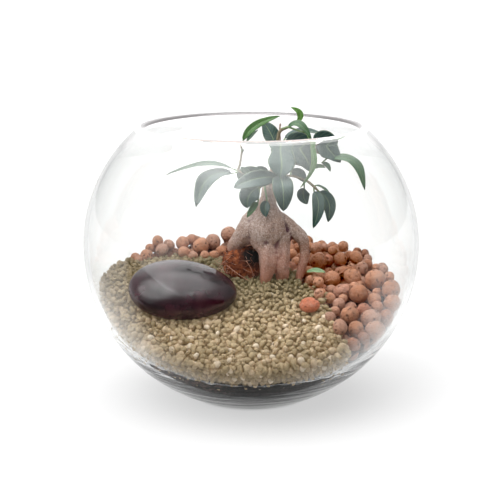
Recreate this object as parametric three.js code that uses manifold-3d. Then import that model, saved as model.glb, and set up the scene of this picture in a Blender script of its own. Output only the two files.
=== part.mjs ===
// A ginseng fig in a round glass bowl, planted as an open terrarium.
// Millimetres, +Z up. The origin is the centre of the bowl's flat base, and the front faces -Y.

import * as THREE from 'three';
import { mergeVertices } from 'three/addons/utils/BufferGeometryUtils.js';
import Module from 'manifold-3d';

const wasm = await Module();
wasm.setup();

// ---- driving dimensions -------------------------------------------------------------------------

const GAP = 0.3; // clearance between pieces that touch
const ROUND_GAP = 1.2; // share of the gap round a faceted ball, so that its edges clear too
const BED_GAP = [-0.25, -0.4]; // shift of the clay's edge that leaves a gap to the gravel

// The blocks that the fill is cut from reach past the glass, under its base and over the fill.
const PAST_GLASS = 4;
const UNDER_BASE_Z = -20;
const OVER_FILL = 200;

// The bowl's outside is an ellipse turned about Z, a little flatter above its widest ring than below.
const BOWL_RADIUS = 126.5;
const BOWL_HALF_ABOVE = 119.5;
const BOWL_HALF_BELOW = 124.5;
const BOWL_MIDDLE_Z = 117.2;
const BASE_RADIUS = 41;
const BASE_EDGE = [3.6, 0.7]; // how far the rounded edge of the base runs out and up
const WALL_START_Z = 2.2;
const WALL = 3.3;
const BOTTOM_EXTRA = 14.2; // thickening of the wall towards the middle of the base
const RIM_BEAD_RADIUS = 2.4;
const RIM_ANGLE = THREE.MathUtils.degToRad(138.6); // from straight down
const RIM_FLARE_ANGLE = THREE.MathUtils.degToRad(14); // below the rim, where the wall thickens
const BOWL_SIDES = 36;
const BOWL_STEPS = 10;

// Fill levels
const SOIL_FRONT_Z = 33;
const SOIL_FRONT_Y = -88;
const SOIL_SLOPE = 0.17;
const LEVEL_Z = 88; // ground level at the plant and behind it
const BACK_SLOPE = 0.04; // how fast the ground rises behind the plant
const FRONT_SLOPE = 0.36; // how fast it falls towards the front glass
const SLOPE_START_Y = 6;
const GROUND_BLEND = 0.35; // per mm, how sharp the turn from level to slope is

// The gravel's top is a field of low pyramids, each for a grain or two.
const GRAIN_PITCH = 7.3;
const GRAIN_RELIEF = 2.2;
const GRAIN_SHIFT = 1.3;

const CLAY_RADIUS = [6.4, 9.2]; // smallest and largest ball
const CLAY_PITCH = 22.5;
const CLAY_BACK_RISE = 8; // how much higher the balls lie against the back glass
const CLAY_RISE_Y = [20, 100];
const CLAY_CORE_STEP = 26;
const CLAY_CORE_DROP = 3.5;
const CLAY_SHIFT = 0.35; // share of the pitch that a ball may stray
const CLAY_SINK = 0.35; // share of its radius that a ball's middle lies below the top
const CLAY_LIFT = 3;

// Edge between gravel and clay, seen from above, from the back left glass round to the right front.
const CLAY_EDGE = [
  [-98, 62], [-65, 73], [-40, 75], [-22, 65], [2, 53], [30, 33],
  [40, 4], [52, -14], [60, -38], [66, -60], [78, -100],
];

const LOOSE_CLAY = [
  { at: [43, -34, 78], radius: 7.5 },
  { at: [58, -45, 72], radius: 4.5 },
  { at: [64, -58, 68], radius: 6 },
  { at: [51, -17, 82], radius: 4.5 },
  { at: [51.5, -0.5, 87], radius: 4.5 },
  { at: [49.5, 9, 86], radius: 4.7 },
];
// The leaf is set down from this height onto what lies below it.
const FALLEN_LEAF = { rib: [[43, 8, 104], [50, 8, 105], [57, 6, 104]], width: 6, face: [0, -0.35, 1] };
const SETTLE_STEP = 0.25;
const PLUG = { centre: [-7, 23, 97], half: [15, 13, 12.5] };
const STONE = { centre: [-51, -24, 87], half: [40.5, 30, 18], tilt: 20, lean: 4 };

const BLADE_THICKNESS = 0.8;
const BLADE_STEPS = 5;
const PETIOLE_RADIUS = 0.7;

const random = THREE.MathUtils.seededRandom;
random(2417);

// ---- solids -------------------------------------------------------------------------------------

// A closed three.js geometry as a solid.
function solid(geometry) {
  const bare = new THREE.BufferGeometry();
  bare.setAttribute('position', geometry.getAttribute('position').clone());
  if (geometry.index) {
    bare.setIndex(geometry.index.clone());
  }
  const merged = mergeVertices(bare, 1e-4);
  const index = merged.index.array;
  const kept = [];
  for (let i = 0; i < index.length; i += 3) {
    const [a, b, c] = [index[i], index[i + 1], index[i + 2]];
    if (a !== b && b !== c && c !== a) {
      kept.push(a, b, c);
    }
  }
  const vertProperties = new Float32Array(merged.getAttribute('position').array);
  const triVerts = new Uint32Array(kept);
  return new wasm.Manifold(new wasm.Mesh({ numProp: 3, vertProperties, triVerts }));
}

// A mesh from a solid. Scraps that a cut leaves loose are dropped.
function part(name, shape, color, roughness, metalness = 0, opacity = 1) {
  const bodies = shape.decompose().sort((a, b) => b.volume() - a.volume());
  const mesh = bodies[0].getMesh();
  const geometry = new THREE.BufferGeometry();
  geometry.setAttribute('position', new THREE.Float32BufferAttribute(mesh.vertProperties, 3));
  geometry.setIndex(Array.from(mesh.triVerts));
  const finish = { color, roughness, metalness, opacity, transparent: opacity < 1, flatShading: true };
  const result = new THREE.Mesh(geometry, new THREE.MeshStandardMaterial(finish));
  result.name = name;
  return result;
}

function union(shapes) {
  return shapes.reduce((whole, shape) => whole.add(shape));
}

function subtractAll(shape, cutters) {
  return cutters.reduce((rest, cutter) => rest.subtract(cutter), shape);
}

// A closed mesh from rings of equal point counts, with a fan to a middle point at each end.
function loft(rings) {
  const sides = rings[0].length;
  const points = rings.flat();
  const faces = [];
  for (let i = 0; i < rings.length - 1; i++) {
    for (let j = 0; j < sides; j++) {
      const a = i * sides + j;
      const b = i * sides + (j + 1) % sides;
      faces.push(a, b, b + sides, a, b + sides, a + sides);
    }
  }
  const last = (rings.length - 1) * sides;
  const start = points.length;
  points.push(middle(rings[0]), middle(rings[rings.length - 1]));
  for (let j = 0; j < sides; j++) {
    const k = (j + 1) % sides;
    faces.push(start, k, j);
    faces.push(start + 1, last + j, last + k);
  }
  const geometry = new THREE.BufferGeometry().setFromPoints(points);
  geometry.setIndex(faces);
  return geometry;
}

function middle(ring) {
  const sum = new THREE.Vector3();
  ring.forEach((point) => sum.add(point));
  return sum.divideScalar(ring.length);
}

// A round limb along a smooth path. Each knot is [x, y, z, radius]. Swell widens it all along.
function limb(knots, { sides = 8, steps = 3, swell = 0 } = {}) {
  const path = new THREE.CatmullRomCurve3(knots.map(([x, y, z]) => new THREE.Vector3(x, y, z)));
  const count = (knots.length - 1) * steps;
  const frames = path.computeFrenetFrames(count);
  const rings = [];
  for (let i = 0; i <= count; i++) {
    const along = i / count * (knots.length - 1);
    const knot = Math.min(Math.floor(along), knots.length - 2);
    const radius = THREE.MathUtils.lerp(knots[knot][3], knots[knot + 1][3], along - knot) + swell;
    const tangent = path.getTangent(i / count);
    const past = i === 0 ? -swell : i === count ? swell : 0;
    const centre = path.getPoint(i / count).addScaledVector(tangent, past);
    const across = frames.normals[i];
    const up = new THREE.Vector3().crossVectors(tangent, across);
    const ring = [];
    for (let j = 0; j < sides; j++) {
      const angle = j / sides * 2 * Math.PI;
      const reach = across.clone().multiplyScalar(Math.cos(angle) * radius);
      ring.push(reach.addScaledVector(up, Math.sin(angle) * radius).add(centre));
    }
    rings.push(ring);
  }
  return solid(loft(rings));
}

function ball([x, y, z], radius, detail = 1) {
  const geometry = new THREE.IcosahedronGeometry(radius, detail);
  geometry.rotateZ(x + y);
  geometry.translate(x, y, z);
  return solid(geometry);
}

// A block with a top given by a formula, standing on a flat bottom. A peak turns each cell of the top
// into a pyramid.
function terrain(topZ, step, peak) {
  const reach = BOWL_RADIUS + PAST_GLASS;
  const count = Math.ceil(2 * reach / step);
  const points = [];
  const faces = [];
  for (let i = 0; i <= count; i++) {
    for (let j = 0; j <= count; j++) {
      const x = -reach + i * step;
      const y = -reach + j * step;
      points.push(new THREE.Vector3(x, y, topZ(x, y)));
    }
  }
  const at = (i, j) => i * (count + 1) + j;
  for (let i = 0; i < count; i++) {
    for (let j = 0; j < count; j++) {
      const [a, b, c, d] = [at(i, j), at(i + 1, j), at(i + 1, j + 1), at(i, j + 1)];
      if (peak) {
        const top = points.length;
        points.push(peak(-reach + (i + 0.5) * step, -reach + (j + 0.5) * step));
        faces.push(a, b, top, b, c, top, c, d, top, d, a, top);
      } else {
        faces.push(a, b, c, a, c, d);
      }
    }
  }
  const edge = [];
  for (let k = 0; k < count; k++) {
    edge.push(at(k, 0));
  }
  for (let k = 0; k < count; k++) {
    edge.push(at(count, k));
  }
  for (let k = count; k > 0; k--) {
    edge.push(at(k, count));
  }
  for (let k = count; k > 0; k--) {
    edge.push(at(0, k));
  }
  const low = points.length;
  edge.forEach((k) => points.push(new THREE.Vector3(points[k].x, points[k].y, UNDER_BASE_Z)));
  const hub = points.length;
  points.push(new THREE.Vector3(0, 0, UNDER_BASE_Z));
  edge.forEach((k, n) => {
    const m = (n + 1) % edge.length;
    faces.push(k, low + n, low + m, k, low + m, edge[m]);
    faces.push(hub, low + m, low + n);
  });
  const geometry = new THREE.BufferGeometry().setFromPoints(points);
  geometry.setIndex(faces);
  return solid(geometry);
}

// ---- bowl ---------------------------------------------------------------------------------------

function wallPoint(angle, depth) {
  const half = angle < Math.PI / 2 ? BOWL_HALF_BELOW : BOWL_HALF_ABOVE;
  const radius = BOWL_RADIUS * Math.sin(angle);
  const z = BOWL_MIDDLE_Z - half * Math.cos(angle);
  const normal = new THREE.Vector2(Math.sin(angle) / BOWL_RADIUS, -Math.cos(angle) / half).normalize();
  return new THREE.Vector2(radius, z).addScaledVector(normal, -depth);
}

function wallThickness(angle) {
  const towardsBase = Math.max(0, Math.cos(angle)) ** 6;
  const flare = THREE.MathUtils.smoothstep(angle, RIM_ANGLE - RIM_FLARE_ANGLE, RIM_ANGLE);
  return WALL + BOTTOM_EXTRA * towardsBase + flare * (2 * RIM_BEAD_RADIUS - WALL);
}

function insideProfile(inset, steps) {
  const points = [];
  for (let i = 0; i <= steps; i++) {
    const angle = RIM_ANGLE * (1 - i / steps);
    points.push(wallPoint(angle, wallThickness(angle) + inset));
  }
  points[steps].x = 0;
  return points;
}

function turned(profile) {
  return solid(new THREE.LatheGeometry(profile, BOWL_SIDES).rotateX(Math.PI / 2));
}

function glassBowl() {
  const startAngle = Math.acos((BOWL_MIDDLE_Z - WALL_START_Z) / BOWL_HALF_BELOW);
  const profile = [new THREE.Vector2(0, 0), new THREE.Vector2(BASE_RADIUS, 0)];
  profile.push(new THREE.Vector2(BASE_RADIUS + BASE_EDGE[0], BASE_EDGE[1]));
  for (let i = 0; i <= BOWL_STEPS; i++) {
    profile.push(wallPoint(THREE.MathUtils.lerp(startAngle, RIM_ANGLE, i / BOWL_STEPS), 0));
  }
  const beadCentre = wallPoint(RIM_ANGLE, RIM_BEAD_RADIUS);
  const beadStart = wallPoint(RIM_ANGLE, 0).sub(beadCentre).angle();
  for (let i = 1; i < 4; i++) {
    const angle = beadStart + i * Math.PI / 4;
    const reach = new THREE.Vector2(Math.cos(angle), Math.sin(angle)).multiplyScalar(RIM_BEAD_RADIUS);
    profile.push(reach.add(beadCentre));
  }
  profile.push(...insideProfile(0, BOWL_STEPS));
  return turned(profile);
}

// The air and fill space inside the bowl, closed at the top, clear of the glass.
function cavity() {
  const profile = insideProfile(GAP, BOWL_STEPS).reverse();
  const top = profile[profile.length - 1];
  profile.push(new THREE.Vector2(0, top.y));
  return turned(profile);
}

// ---- ground -------------------------------------------------------------------------------------

function groundZ(x, y) {
  const slope = LEVEL_Z + FRONT_SLOPE * (y - SLOPE_START_Y);
  const level = LEVEL_Z + BACK_SLOPE * y;
  return -Math.log(Math.exp(-GROUND_BLEND * slope) + Math.exp(-GROUND_BLEND * level)) / GROUND_BLEND;
}

function soilZ(x, y) {
  return SOIL_FRONT_Z + SOIL_SLOPE * (y - SOIL_FRONT_Y);
}

function clayZ(x, y) {
  return groundZ(x, y) + CLAY_BACK_RISE * THREE.MathUtils.smoothstep(y, ...CLAY_RISE_Y);
}

function clayRegion(moveX, moveY) {
  const edge = CLAY_EDGE.map(([x, y]) => new THREE.Vector2(x + moveX, y + moveY));
  const reach = BOWL_RADIUS + PAST_GLASS;
  const outline = new THREE.Shape(edge);
  outline.lineTo(reach, edge[edge.length - 1].y);
  outline.lineTo(reach, reach);
  outline.lineTo(-reach, reach);
  outline.lineTo(-reach, edge[0].y);
  return solid(new THREE.ExtrudeGeometry(outline, { depth: OVER_FILL, bevelEnabled: false }));
}

// The dips between grains, and the grains' tops, each a little off the middle of its cell.
function grainDip(x, y) {
  return groundZ(x, y) - GRAIN_RELIEF / 2;
}

function grainTop(x, y) {
  const topX = x + (2 * random() - 1) * GRAIN_SHIFT;
  const topY = y + (2 * random() - 1) * GRAIN_SHIFT;
  return new THREE.Vector3(topX, topY, groundZ(topX, topY) + GRAIN_RELIEF * random());
}

// Balls in loose rows over the clay's part of the ground, each with its own size, shift and lift.
function clayBalls() {
  const balls = [];
  const rowPitch = CLAY_PITCH * Math.sqrt(3) / 2;
  const rows = Math.ceil(2 * BOWL_RADIUS / rowPitch);
  const columns = Math.ceil(2 * BOWL_RADIUS / CLAY_PITCH);
  for (let row = 0; row < rows; row++) {
    for (let column = 0; column < columns; column++) {
      const x = (column + (row % 2) / 2 + (random() - 0.5) * CLAY_SHIFT) * CLAY_PITCH - BOWL_RADIUS;
      const y = (row + (random() - 0.5) * CLAY_SHIFT) * rowPitch - BOWL_RADIUS;
      const radius = THREE.MathUtils.lerp(...CLAY_RADIUS, random());
      const z = clayZ(x, y) - CLAY_SINK * radius + CLAY_LIFT * random();
      if (clayInset(x, y) > CLAY_SINK * radius) {
        balls.push(ball([x, y, z], radius));
      }
    }
  }
  return balls;
}

// How far a point lies inside the clay's part of the ground, and inside the glass.
function clayInset(x, y) {
  const fromGlass = BOWL_RADIUS - WALL - Math.hypot(x, y);
  const edge = CLAY_EDGE.map((corner) => new THREE.Vector2(...corner));
  const point = new THREE.Vector2(x, y);
  const nearest = edge.slice(1).map((end, k) => {
    const run = end.clone().sub(edge[k]);
    const along = THREE.MathUtils.clamp(point.clone().sub(edge[k]).dot(run) / run.lengthSq(), 0, 1);
    const offset = point.clone().sub(edge[k]).addScaledVector(run, -along);
    return { distance: offset.length(), side: Math.sign(run.cross(offset)) };
  }).sort((a, b) => a.distance - b.distance)[0];
  return Math.min(fromGlass, nearest.side * nearest.distance);
}

// ---- plant --------------------------------------------------------------------------------------

// The fat trunk and its root legs, each a limb of [x, y, z, radius] knots from the top down.
const CAUDEX = [
  // neck and body
  [[13, 18, 160, 3.8], [13, 18, 150, 6], [12, 18, 142, 10],
    [12, 18, 132, 16], [12, 19, 120, 19], [13, 20, 108, 14]],
  // left shoulder, which ends in the peat plug
  [[9, 18, 136, 9], [0, 19, 123, 13], [-8, 21, 112, 9.5], [-13, 23, 103, 7], [-15, 25, 94, 4]],
  // front left leg
  [[8, 15, 120, 12], [9, 11, 109, 9], [10, 9, 99, 8], [8, 8, 89, 5.5], [8, 8, 80, 2.5]],
  // front middle leg
  [[23, 17, 120, 11], [24, 13, 108, 7.5], [24, 12, 98, 6.5], [24, 13, 89, 5.5], [23, 14, 79, 3.5]],
  // right arm, knee and leg
  [[20, 18, 133, 11], [31, 18, 126, 8], [40, 18, 118, 6.2],
    [43, 18, 107, 5], [39, 17, 95, 4.5], [35, 15, 79, 3]],
  // back leg
  [[12, 24, 126, 12], [9, 33, 112, 10], [7, 40, 97, 7], [7, 44, 79, 4]],
];
const WOODY_STEM = [
  [13, 18, 154, 4.4], [16, 18, 169, 3], [19, 18, 184, 2.4], [21, 18, 194, 1.9], [22, 18, 207, 0.9],
];

function trunk(swell = 0) {
  const limbs = CAUDEX.map((knots) => limb(knots, { sides: 8, steps: 2, swell }));
  limbs.push(limb(WOODY_STEM, { sides: 6, steps: 2, swell }));
  return union(limbs);
}

// A leaf blade along base, middle and tip, with its upper face turned towards a direction.
function blade({ rib: [base, centre, tip], width, face }) {
  const [start, through, end] = [base, centre, tip].map((point) => new THREE.Vector3(...point));
  const handle = through.clone().multiplyScalar(2).addScaledVector(start, -0.5).addScaledVector(end, -0.5);
  const path = new THREE.QuadraticBezierCurve3(start, handle, end);
  const towards = new THREE.Vector3(...face).normalize();
  const rings = [];
  for (let i = 0; i <= BLADE_STEPS; i++) {
    const along = i / BLADE_STEPS;
    const tangent = path.getTangent(along);
    const side = new THREE.Vector3().crossVectors(tangent, towards).normalize();
    const normal = new THREE.Vector3().crossVectors(side, tangent);
    const half = Math.max(0.7, width / 2 * Math.sin(Math.PI * along ** 0.85) ** 0.65);
    const fold = 0.22 * half;
    const rib = path.getPoint(along);
    const left = rib.clone().addScaledVector(side, -half).addScaledVector(normal, fold);
    const right = rib.clone().addScaledVector(side, half).addScaledVector(normal, fold);
    const lift = normal.clone().multiplyScalar(BLADE_THICKNESS / 2);
    const upper = [left, rib, right].map((point) => point.clone().add(lift));
    const lower = [right, rib, left].map((point) => point.clone().sub(lift));
    rings.push([...upper, ...lower]);
  }
  return solid(loft(rings));
}

const FRONT = [0, -1, 0.35];
const UP = [0, -0.3, 1];
const LEAN = [0, -0.8, 0.8];
const SIDE = [0.9, -0.8, 0.2];
const BACK = [0, 1, 0.6];

// Each shoot is its twigs, a limb each, and its leaves. A leaf's petiole starts from a twig.
const SHOOTS = {
  leafy_shoot_leader: {
    twigs: [[[20, 18, 190, 1.2], [25, 16, 197, 1.1], [28, 15, 203, 0.9]]],
    leaves: [
      { from: [28, 15, 203], rib: [[34, 15, 206], [38, 15, 213], [29, 15, 218]], width: 5, face: FRONT },
      { from: [26, 15, 200], rib: [[29, 12, 205], [36, 9, 208], [46, 5, 195]], width: 7, face: UP },
      { from: [28, 15, 203], rib: [[40, 6, 196], [46, 1, 178], [39, 0, 157]], width: 6, face: SIDE },
    ],
  },
  leafy_shoot_left: {
    twigs: [[[14, 18, 164, 1.4], [4, 20, 169, 1.2], [-9, 22, 173, 1.1], [-6, 20, 190, 0.8]]],
    leaves: [
      { from: [-6, 20, 190], rib: [[-6, 20, 193], [1, 18, 208], [20, 18, 212]], width: 6, face: UP },
      { from: [-9, 22, 173], rib: [[-20, 22, 178], [-39, 18, 178], [-65, 12, 169]], width: 9, face: UP },
      { from: [-9, 22, 173], rib: [[-15, 20, 171], [-32, 14, 167], [-42, 10, 144]], width: 12, face: LEAN },
      { from: [4, 20, 169], rib: [[5, 22, 172], [3, 27, 177], [-1, 33, 173]], width: 7, face: FRONT },
    ],
  },
  leafy_shoot_front: {
    twigs: [
      [[15, 17, 166, 1.4], [17, 8, 172, 1.2], [20, 8, 182, 1], [21, 10, 190, 0.8]],
      [[17, 8, 172, 1], [12, 8, 164, 1], [8, 9, 158, 0.8]],
    ],
    leaves: [
      { from: [21, 10, 190], rib: [[20, 9, 194], [22, 2, 187], [19, -4, 171]], width: 19, face: FRONT },
      { from: [17, 8, 172], rib: [[22, 5, 171], [26, -6, 160], [22, -6, 144]], width: 15, face: FRONT },
      { from: [17, 8, 172], rib: [[13, 5, 171], [2, -2, 170], [-13, -5, 161]], width: 16, face: FRONT },
      { from: [8, 9, 158], rib: [[5, 7, 158], [-3, 1, 156], [-9, -3, 147]], width: 14, face: FRONT },
      { from: [8, 9, 158], rib: [[4, 6, 148], [2, 3, 144], [-2, 1, 137]], width: 5, face: FRONT },
      { from: [12, 8, 164], rib: [[11, 5, 149], [13, 2, 144], [11, 0, 138]], width: 6.5, face: FRONT },
    ],
  },
  leafy_shoot_right: {
    twigs: [
      [[18, 18, 184, 1.4], [22, 24, 188, 1.3], [33, 25, 190, 1.2], [46, 25, 190, 1.1], [60, 24, 184, 0.8]],
    ],
    leaves: [
      { from: [22, 24, 188], rib: [[18, 26, 192], [14, 31, 199], [10, 39, 206]], width: 12, face: FRONT },
      { from: [22, 24, 188], rib: [[26, 28, 191], [41, 34, 198], [60, 38, 192]], width: 14, face: UP },
      { from: [33, 25, 190], rib: [[30, 20, 190], [42, 16, 188], [54, 14, 176]], width: 18, face: FRONT },
      { from: [46, 25, 190], rib: [[50, 26, 190], [60, 26, 190], [69, 24, 180]], width: 12, face: FRONT },
      { from: [60, 24, 184], rib: [[62, 24, 182], [80, 20, 176], [87, 14, 156]], width: 8, face: UP },
      { from: [46, 25, 190], rib: [[47, 25, 181], [50, 24, 179], [55, 22, 175]], width: 5, face: FRONT },
      { from: [60, 24, 184], rib: [[56, 23, 180], [59, 22, 177], [59, 20, 171]], width: 5, face: FRONT },
    ],
  },
  leafy_shoot_low: {
    twigs: [[[15, 18, 164, 1.4], [28, 20, 168, 1.2], [37, 22, 166, 1.1], [51, 20, 160, 0.9]]],
    leaves: [
      { from: [37, 22, 166], rib: [[42, 30, 170], [36, 37, 169], [30, 40, 160]], width: 9, face: FRONT },
      { from: [37, 22, 166], rib: [[40, 24, 157], [44, 24, 152], [42, 22, 144]], width: 8.5, face: FRONT },
      { from: [51, 20, 160], rib: [[51, 17, 155], [54, 10, 144], [48, 8, 128]], width: 7, face: FRONT },
      { from: [51, 20, 160], rib: [[54, 20, 155], [64, 18, 146], [57, 15, 131]], width: 8, face: FRONT },
      { from: [51, 20, 160], rib: [[53, 22, 160], [58, 24, 156], [62, 26, 147]], width: 6, face: UP },
    ],
  },
  leafy_shoot_back: {
    twigs: [[[15, 20, 166, 1.4], [14, 27, 171, 1.2], [19, 31, 181, 1]]],
    leaves: [
      { from: [14, 27, 171], rib: [[9, 30, 171], [-3, 37, 171], [-10, 46, 160]], width: 12, face: BACK },
      { from: [19, 31, 181], rib: [[21, 34, 183], [25, 42, 184], [27, 52, 174]], width: 13, face: BACK },
      { from: [19, 31, 181], rib: [[24, 34, 181], [38, 43, 181], [47, 50, 170]], width: 12, face: BACK },
      { from: [14, 27, 171], rib: [[17, 31, 168], [23, 41, 163], [24, 48, 150]], width: 12, face: BACK },
      { from: [14, 27, 171], rib: [[13, 33, 170], [10, 45, 168], [8, 54, 157]], width: 11, face: BACK },
      { from: [14, 27, 171], rib: [[9, 30, 165], [2, 40, 160], [-4, 45, 148]], width: 11, face: BACK },
    ],
  },
};

function shoot({ twigs, leaves }) {
  const shapes = twigs.map((knots) => limb(knots, { sides: 5, steps: 2 }));
  leaves.forEach((leaf) => {
    const neck = leaf.rib[0];
    shapes.push(limb([[...leaf.from, PETIOLE_RADIUS], [...neck, PETIOLE_RADIUS]], { sides: 4, steps: 1 }));
    shapes.push(blade(leaf));
  });
  return union(shapes);
}

// ---- stone, plug and loose pieces ---------------------------------------------------------------

// An egg-shaped pebble, blunt at its left end, that lies on the slope.
function riverStone(swell = 0) {
  const geometry = new THREE.SphereGeometry(1, 16, 12).rotateZ(-Math.PI / 2);
  const position = geometry.getAttribute('position');
  const [halfX, halfY, halfZ] = STONE.half;
  for (let i = 0; i < position.count; i++) {
    const x = position.getX(i);
    const taper = 1 - 0.09 * x - 0.03 * x * x;
    const y = position.getY(i) * taper;
    const z = position.getZ(i) * taper;
    position.setXYZ(i, x * (halfX + swell), y * (halfY + swell), z * (halfZ + swell));
  }
  geometry.rotateX(THREE.MathUtils.degToRad(STONE.tilt));
  geometry.rotateY(THREE.MathUtils.degToRad(STONE.lean));
  geometry.translate(...STONE.centre);
  return solid(geometry);
}

// What is left of the nursery root ball: a lumpy mass of peat and fine roots.
function peatPlug(swell = 0) {
  const geometry = new THREE.SphereGeometry(1, 12, 9).rotateX(Math.PI / 2);
  const position = geometry.getAttribute('position');
  const point = new THREE.Vector3();
  for (let i = 0; i < position.count; i++) {
    point.fromBufferAttribute(position, i);
    const box = 1 / Math.max(Math.abs(point.x), Math.abs(point.y), Math.abs(point.z)) ** 0.35;
    const lump = 1 + 0.05 * Math.sin(9 * point.x + 4 * point.z) * Math.sin(8 * point.y);
    point.multiplyScalar(box * lump);
    const [halfX, halfY, halfZ] = PLUG.half;
    point.set(point.x * (halfX + swell), point.y * (halfY + swell), point.z * (halfZ + swell));
    position.setXYZ(i, point.x, point.y, point.z);
  }
  geometry.translate(...PLUG.centre);
  return solid(geometry);
}

// A piece let down in small steps until the next step would touch one of the things below it.
function settled(shape, things) {
  const ground = union(things);
  let lowered = shape;
  let next = lowered.translate([0, 0, -SETTLE_STEP]);
  while (next.intersect(ground).volume() === 0) {
    lowered = next;
    next = lowered.translate([0, 0, -SETTLE_STEP]);
  }
  return lowered.translate([0, 0, GAP - SETTLE_STEP]);
}

// ---- assembly -----------------------------------------------------------------------------------

const terrarium = new THREE.Group();
const space = cavity();
const wholeStep = 2 * (BOWL_RADIUS + PAST_GLASS);
const soilBlock = terrain(soilZ, wholeStep);
const soilCut = terrain((x, y) => soilZ(x, y) + GAP, wholeStep);

const clearTrunk = trunk(GAP);
const clearStone = riverStone(GAP);
const clearPlug = peatPlug(GAP);
const clearLoose = LOOSE_CLAY.map(({ at, radius }) => ball(at, radius + ROUND_GAP * GAP));
const sockets = [clearTrunk, clearPlug, ...clearLoose];

const gravelBlock = terrain(grainDip, GRAIN_PITCH, grainTop).intersect(space).subtract(soilCut);
const gravel = subtractAll(gravelBlock, [clayRegion(...BED_GAP), clearStone, ...sockets]);

const clayCore = terrain((x, y) => clayZ(x, y) - CLAY_CORE_DROP, CLAY_CORE_STEP);
const clayRaw = union([clayCore.intersect(clayRegion(0, 0)), ...clayBalls()]);
const clayBank = subtractAll(clayRaw.intersect(space).intersect(clayRegion(0, 0)), [soilCut, ...sockets]);

terrarium.add(part('glass_bowl', glassBowl(), 0xf4f8f7, 0.03, 0, 0.25));
terrarium.add(part('potting_soil', space.intersect(soilBlock), 0x1d1815, 0.95));
terrarium.add(part('gravel_bed', gravel, 0xa89c78, 0.85));
terrarium.add(part('clay_pebble_bank', clayBank, 0xb98476, 0.9));
terrarium.add(part('river_stone', riverStone(), 0x5a4f55, 0.15));
terrarium.add(part('fig_trunk', trunk(), 0xb89f92, 0.8));
terrarium.add(part('peat_plug', peatPlug().subtract(clearTrunk), 0x55301d, 0.95));
LOOSE_CLAY.forEach(({ at, radius }, i) => {
  terrarium.add(part(`clay_pebble_loose_${i + 1}`, ball(at, radius), 0xc08068, 0.9));
});
Object.entries(SHOOTS).forEach(([name, plan]) => {
  terrarium.add(part(name, shoot(plan).subtract(clearTrunk), 0x4c7a4c, 0.4));
});
const below = [gravel, clayBank, trunk(), ...LOOSE_CLAY.map(({ at, radius }) => ball(at, radius))];
terrarium.add(part('fallen_leaf', settled(blade(FALLEN_LEAF), below), 0x8fb57a, 0.45));

export default terrarium;
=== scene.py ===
"""A ginseng fig in a round glass bowl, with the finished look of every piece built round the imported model.

Lengths are in metres, but the tables of points are in tenths of a millimetre. The bowl stands on the floor at
the origin, +Z is up and the camera looks along +Y.
"""

import itertools
import math
import random

import bmesh
import bpy
import numpy as np
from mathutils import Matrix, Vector, noise


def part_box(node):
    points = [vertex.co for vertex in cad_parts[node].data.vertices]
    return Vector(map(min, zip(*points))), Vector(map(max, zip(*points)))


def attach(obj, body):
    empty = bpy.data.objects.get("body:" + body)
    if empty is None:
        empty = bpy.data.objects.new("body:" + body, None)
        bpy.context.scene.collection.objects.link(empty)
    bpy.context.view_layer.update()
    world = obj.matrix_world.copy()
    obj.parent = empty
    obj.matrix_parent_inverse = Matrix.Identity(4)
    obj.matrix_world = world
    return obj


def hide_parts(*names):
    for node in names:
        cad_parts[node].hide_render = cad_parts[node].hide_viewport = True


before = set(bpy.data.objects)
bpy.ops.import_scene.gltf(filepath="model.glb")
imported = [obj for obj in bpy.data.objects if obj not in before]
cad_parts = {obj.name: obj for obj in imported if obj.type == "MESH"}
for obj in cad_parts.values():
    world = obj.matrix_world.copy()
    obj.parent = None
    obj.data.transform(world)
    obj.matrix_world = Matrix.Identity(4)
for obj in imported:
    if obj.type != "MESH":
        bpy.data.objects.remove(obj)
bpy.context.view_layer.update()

# ---- sizes ----

GAP = 0.0003  # clearance between pieces that touch
WET_CONTACT = 0.00015  # how far damp soil is pressed past the face of the glass
DRY_Z = 0.0245  # below this the soil has dried away from the glass, and higher up at its left and right
DRY_RISE = 3.7
SOIL_LIP = 0.002  # how much higher the soil stands against the glass

BOWL_RADIUS = 0.1265
HALF_ABOVE = 0.1195
HALF_BELOW = 0.1245
MIDDLE_Z = 0.1172
BASE_RADIUS = 0.041
BASE_EDGE = [(0.0022, 0.0002), (0.0036, 0.0007)]  # the rounding of the base, further out and up
WALL_START_Z = 0.0022
WALL = 0.0033
BOTTOM_EXTRA = 0.0142  # thickening of the wall towards the middle of the base
RIM_BEAD_RADIUS = 0.0024
RIM_ANGLE = math.radians(138.6)  # from straight down
RIM_FLARE = math.radians(14)

SOIL_FRONT_Z = 0.033
SOIL_FRONT_Y = -0.088
SOIL_SLOPE = 0.17
LEVEL_Z = 0.088
BACK_SLOPE = 0.04
FRONT_SLOPE = 0.36
SLOPE_START_Y = 0.006
GROUND_BLEND = 350.0  # per metre
CLAY_RISE = 0.008
CLAY_RISE_Y = (0.020, 0.100)

# The plain masses behind the grains and the balls: how far below the ground, and how far from the glass.
GRAVEL_CORE_DROP = 0.0056
GRAVEL_CORE_INSET = 0.0022
CLAY_CORE_DROP = 0.010
CLAY_CORE_INSET = 0.005

GRAIN_RADIUS = (0.0020, 0.0033)
GRAIN_PITCH = 0.0047
GRAIN_ROW = GRAIN_PITCH * math.sqrt(3) / 2
GRAIN_LAYER = 0.0023
JITTER = 0.3  # how far a grain strays from its place in the row, as a share of the pitch
WHITE_GRAINS = 0.012  # the share of nearly white ones at the back, and how much larger it is at the front
MORE_WHITE_GRAINS = 0.06
WALL_GRAINS = (math.radians(38), math.radians(82))  # where grains lie on the glass, from straight down
BALL_RADIUS = (0.0038, 0.008)
FILLER_RADIUS = 0.0048  # the small balls that fill the last gaps
WALL_BALL_RADIUS = (0.0045, 0.0078)
BALL_TRIES = 7000  # at each depth
WALL_BALL_TRIES = 14000

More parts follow.
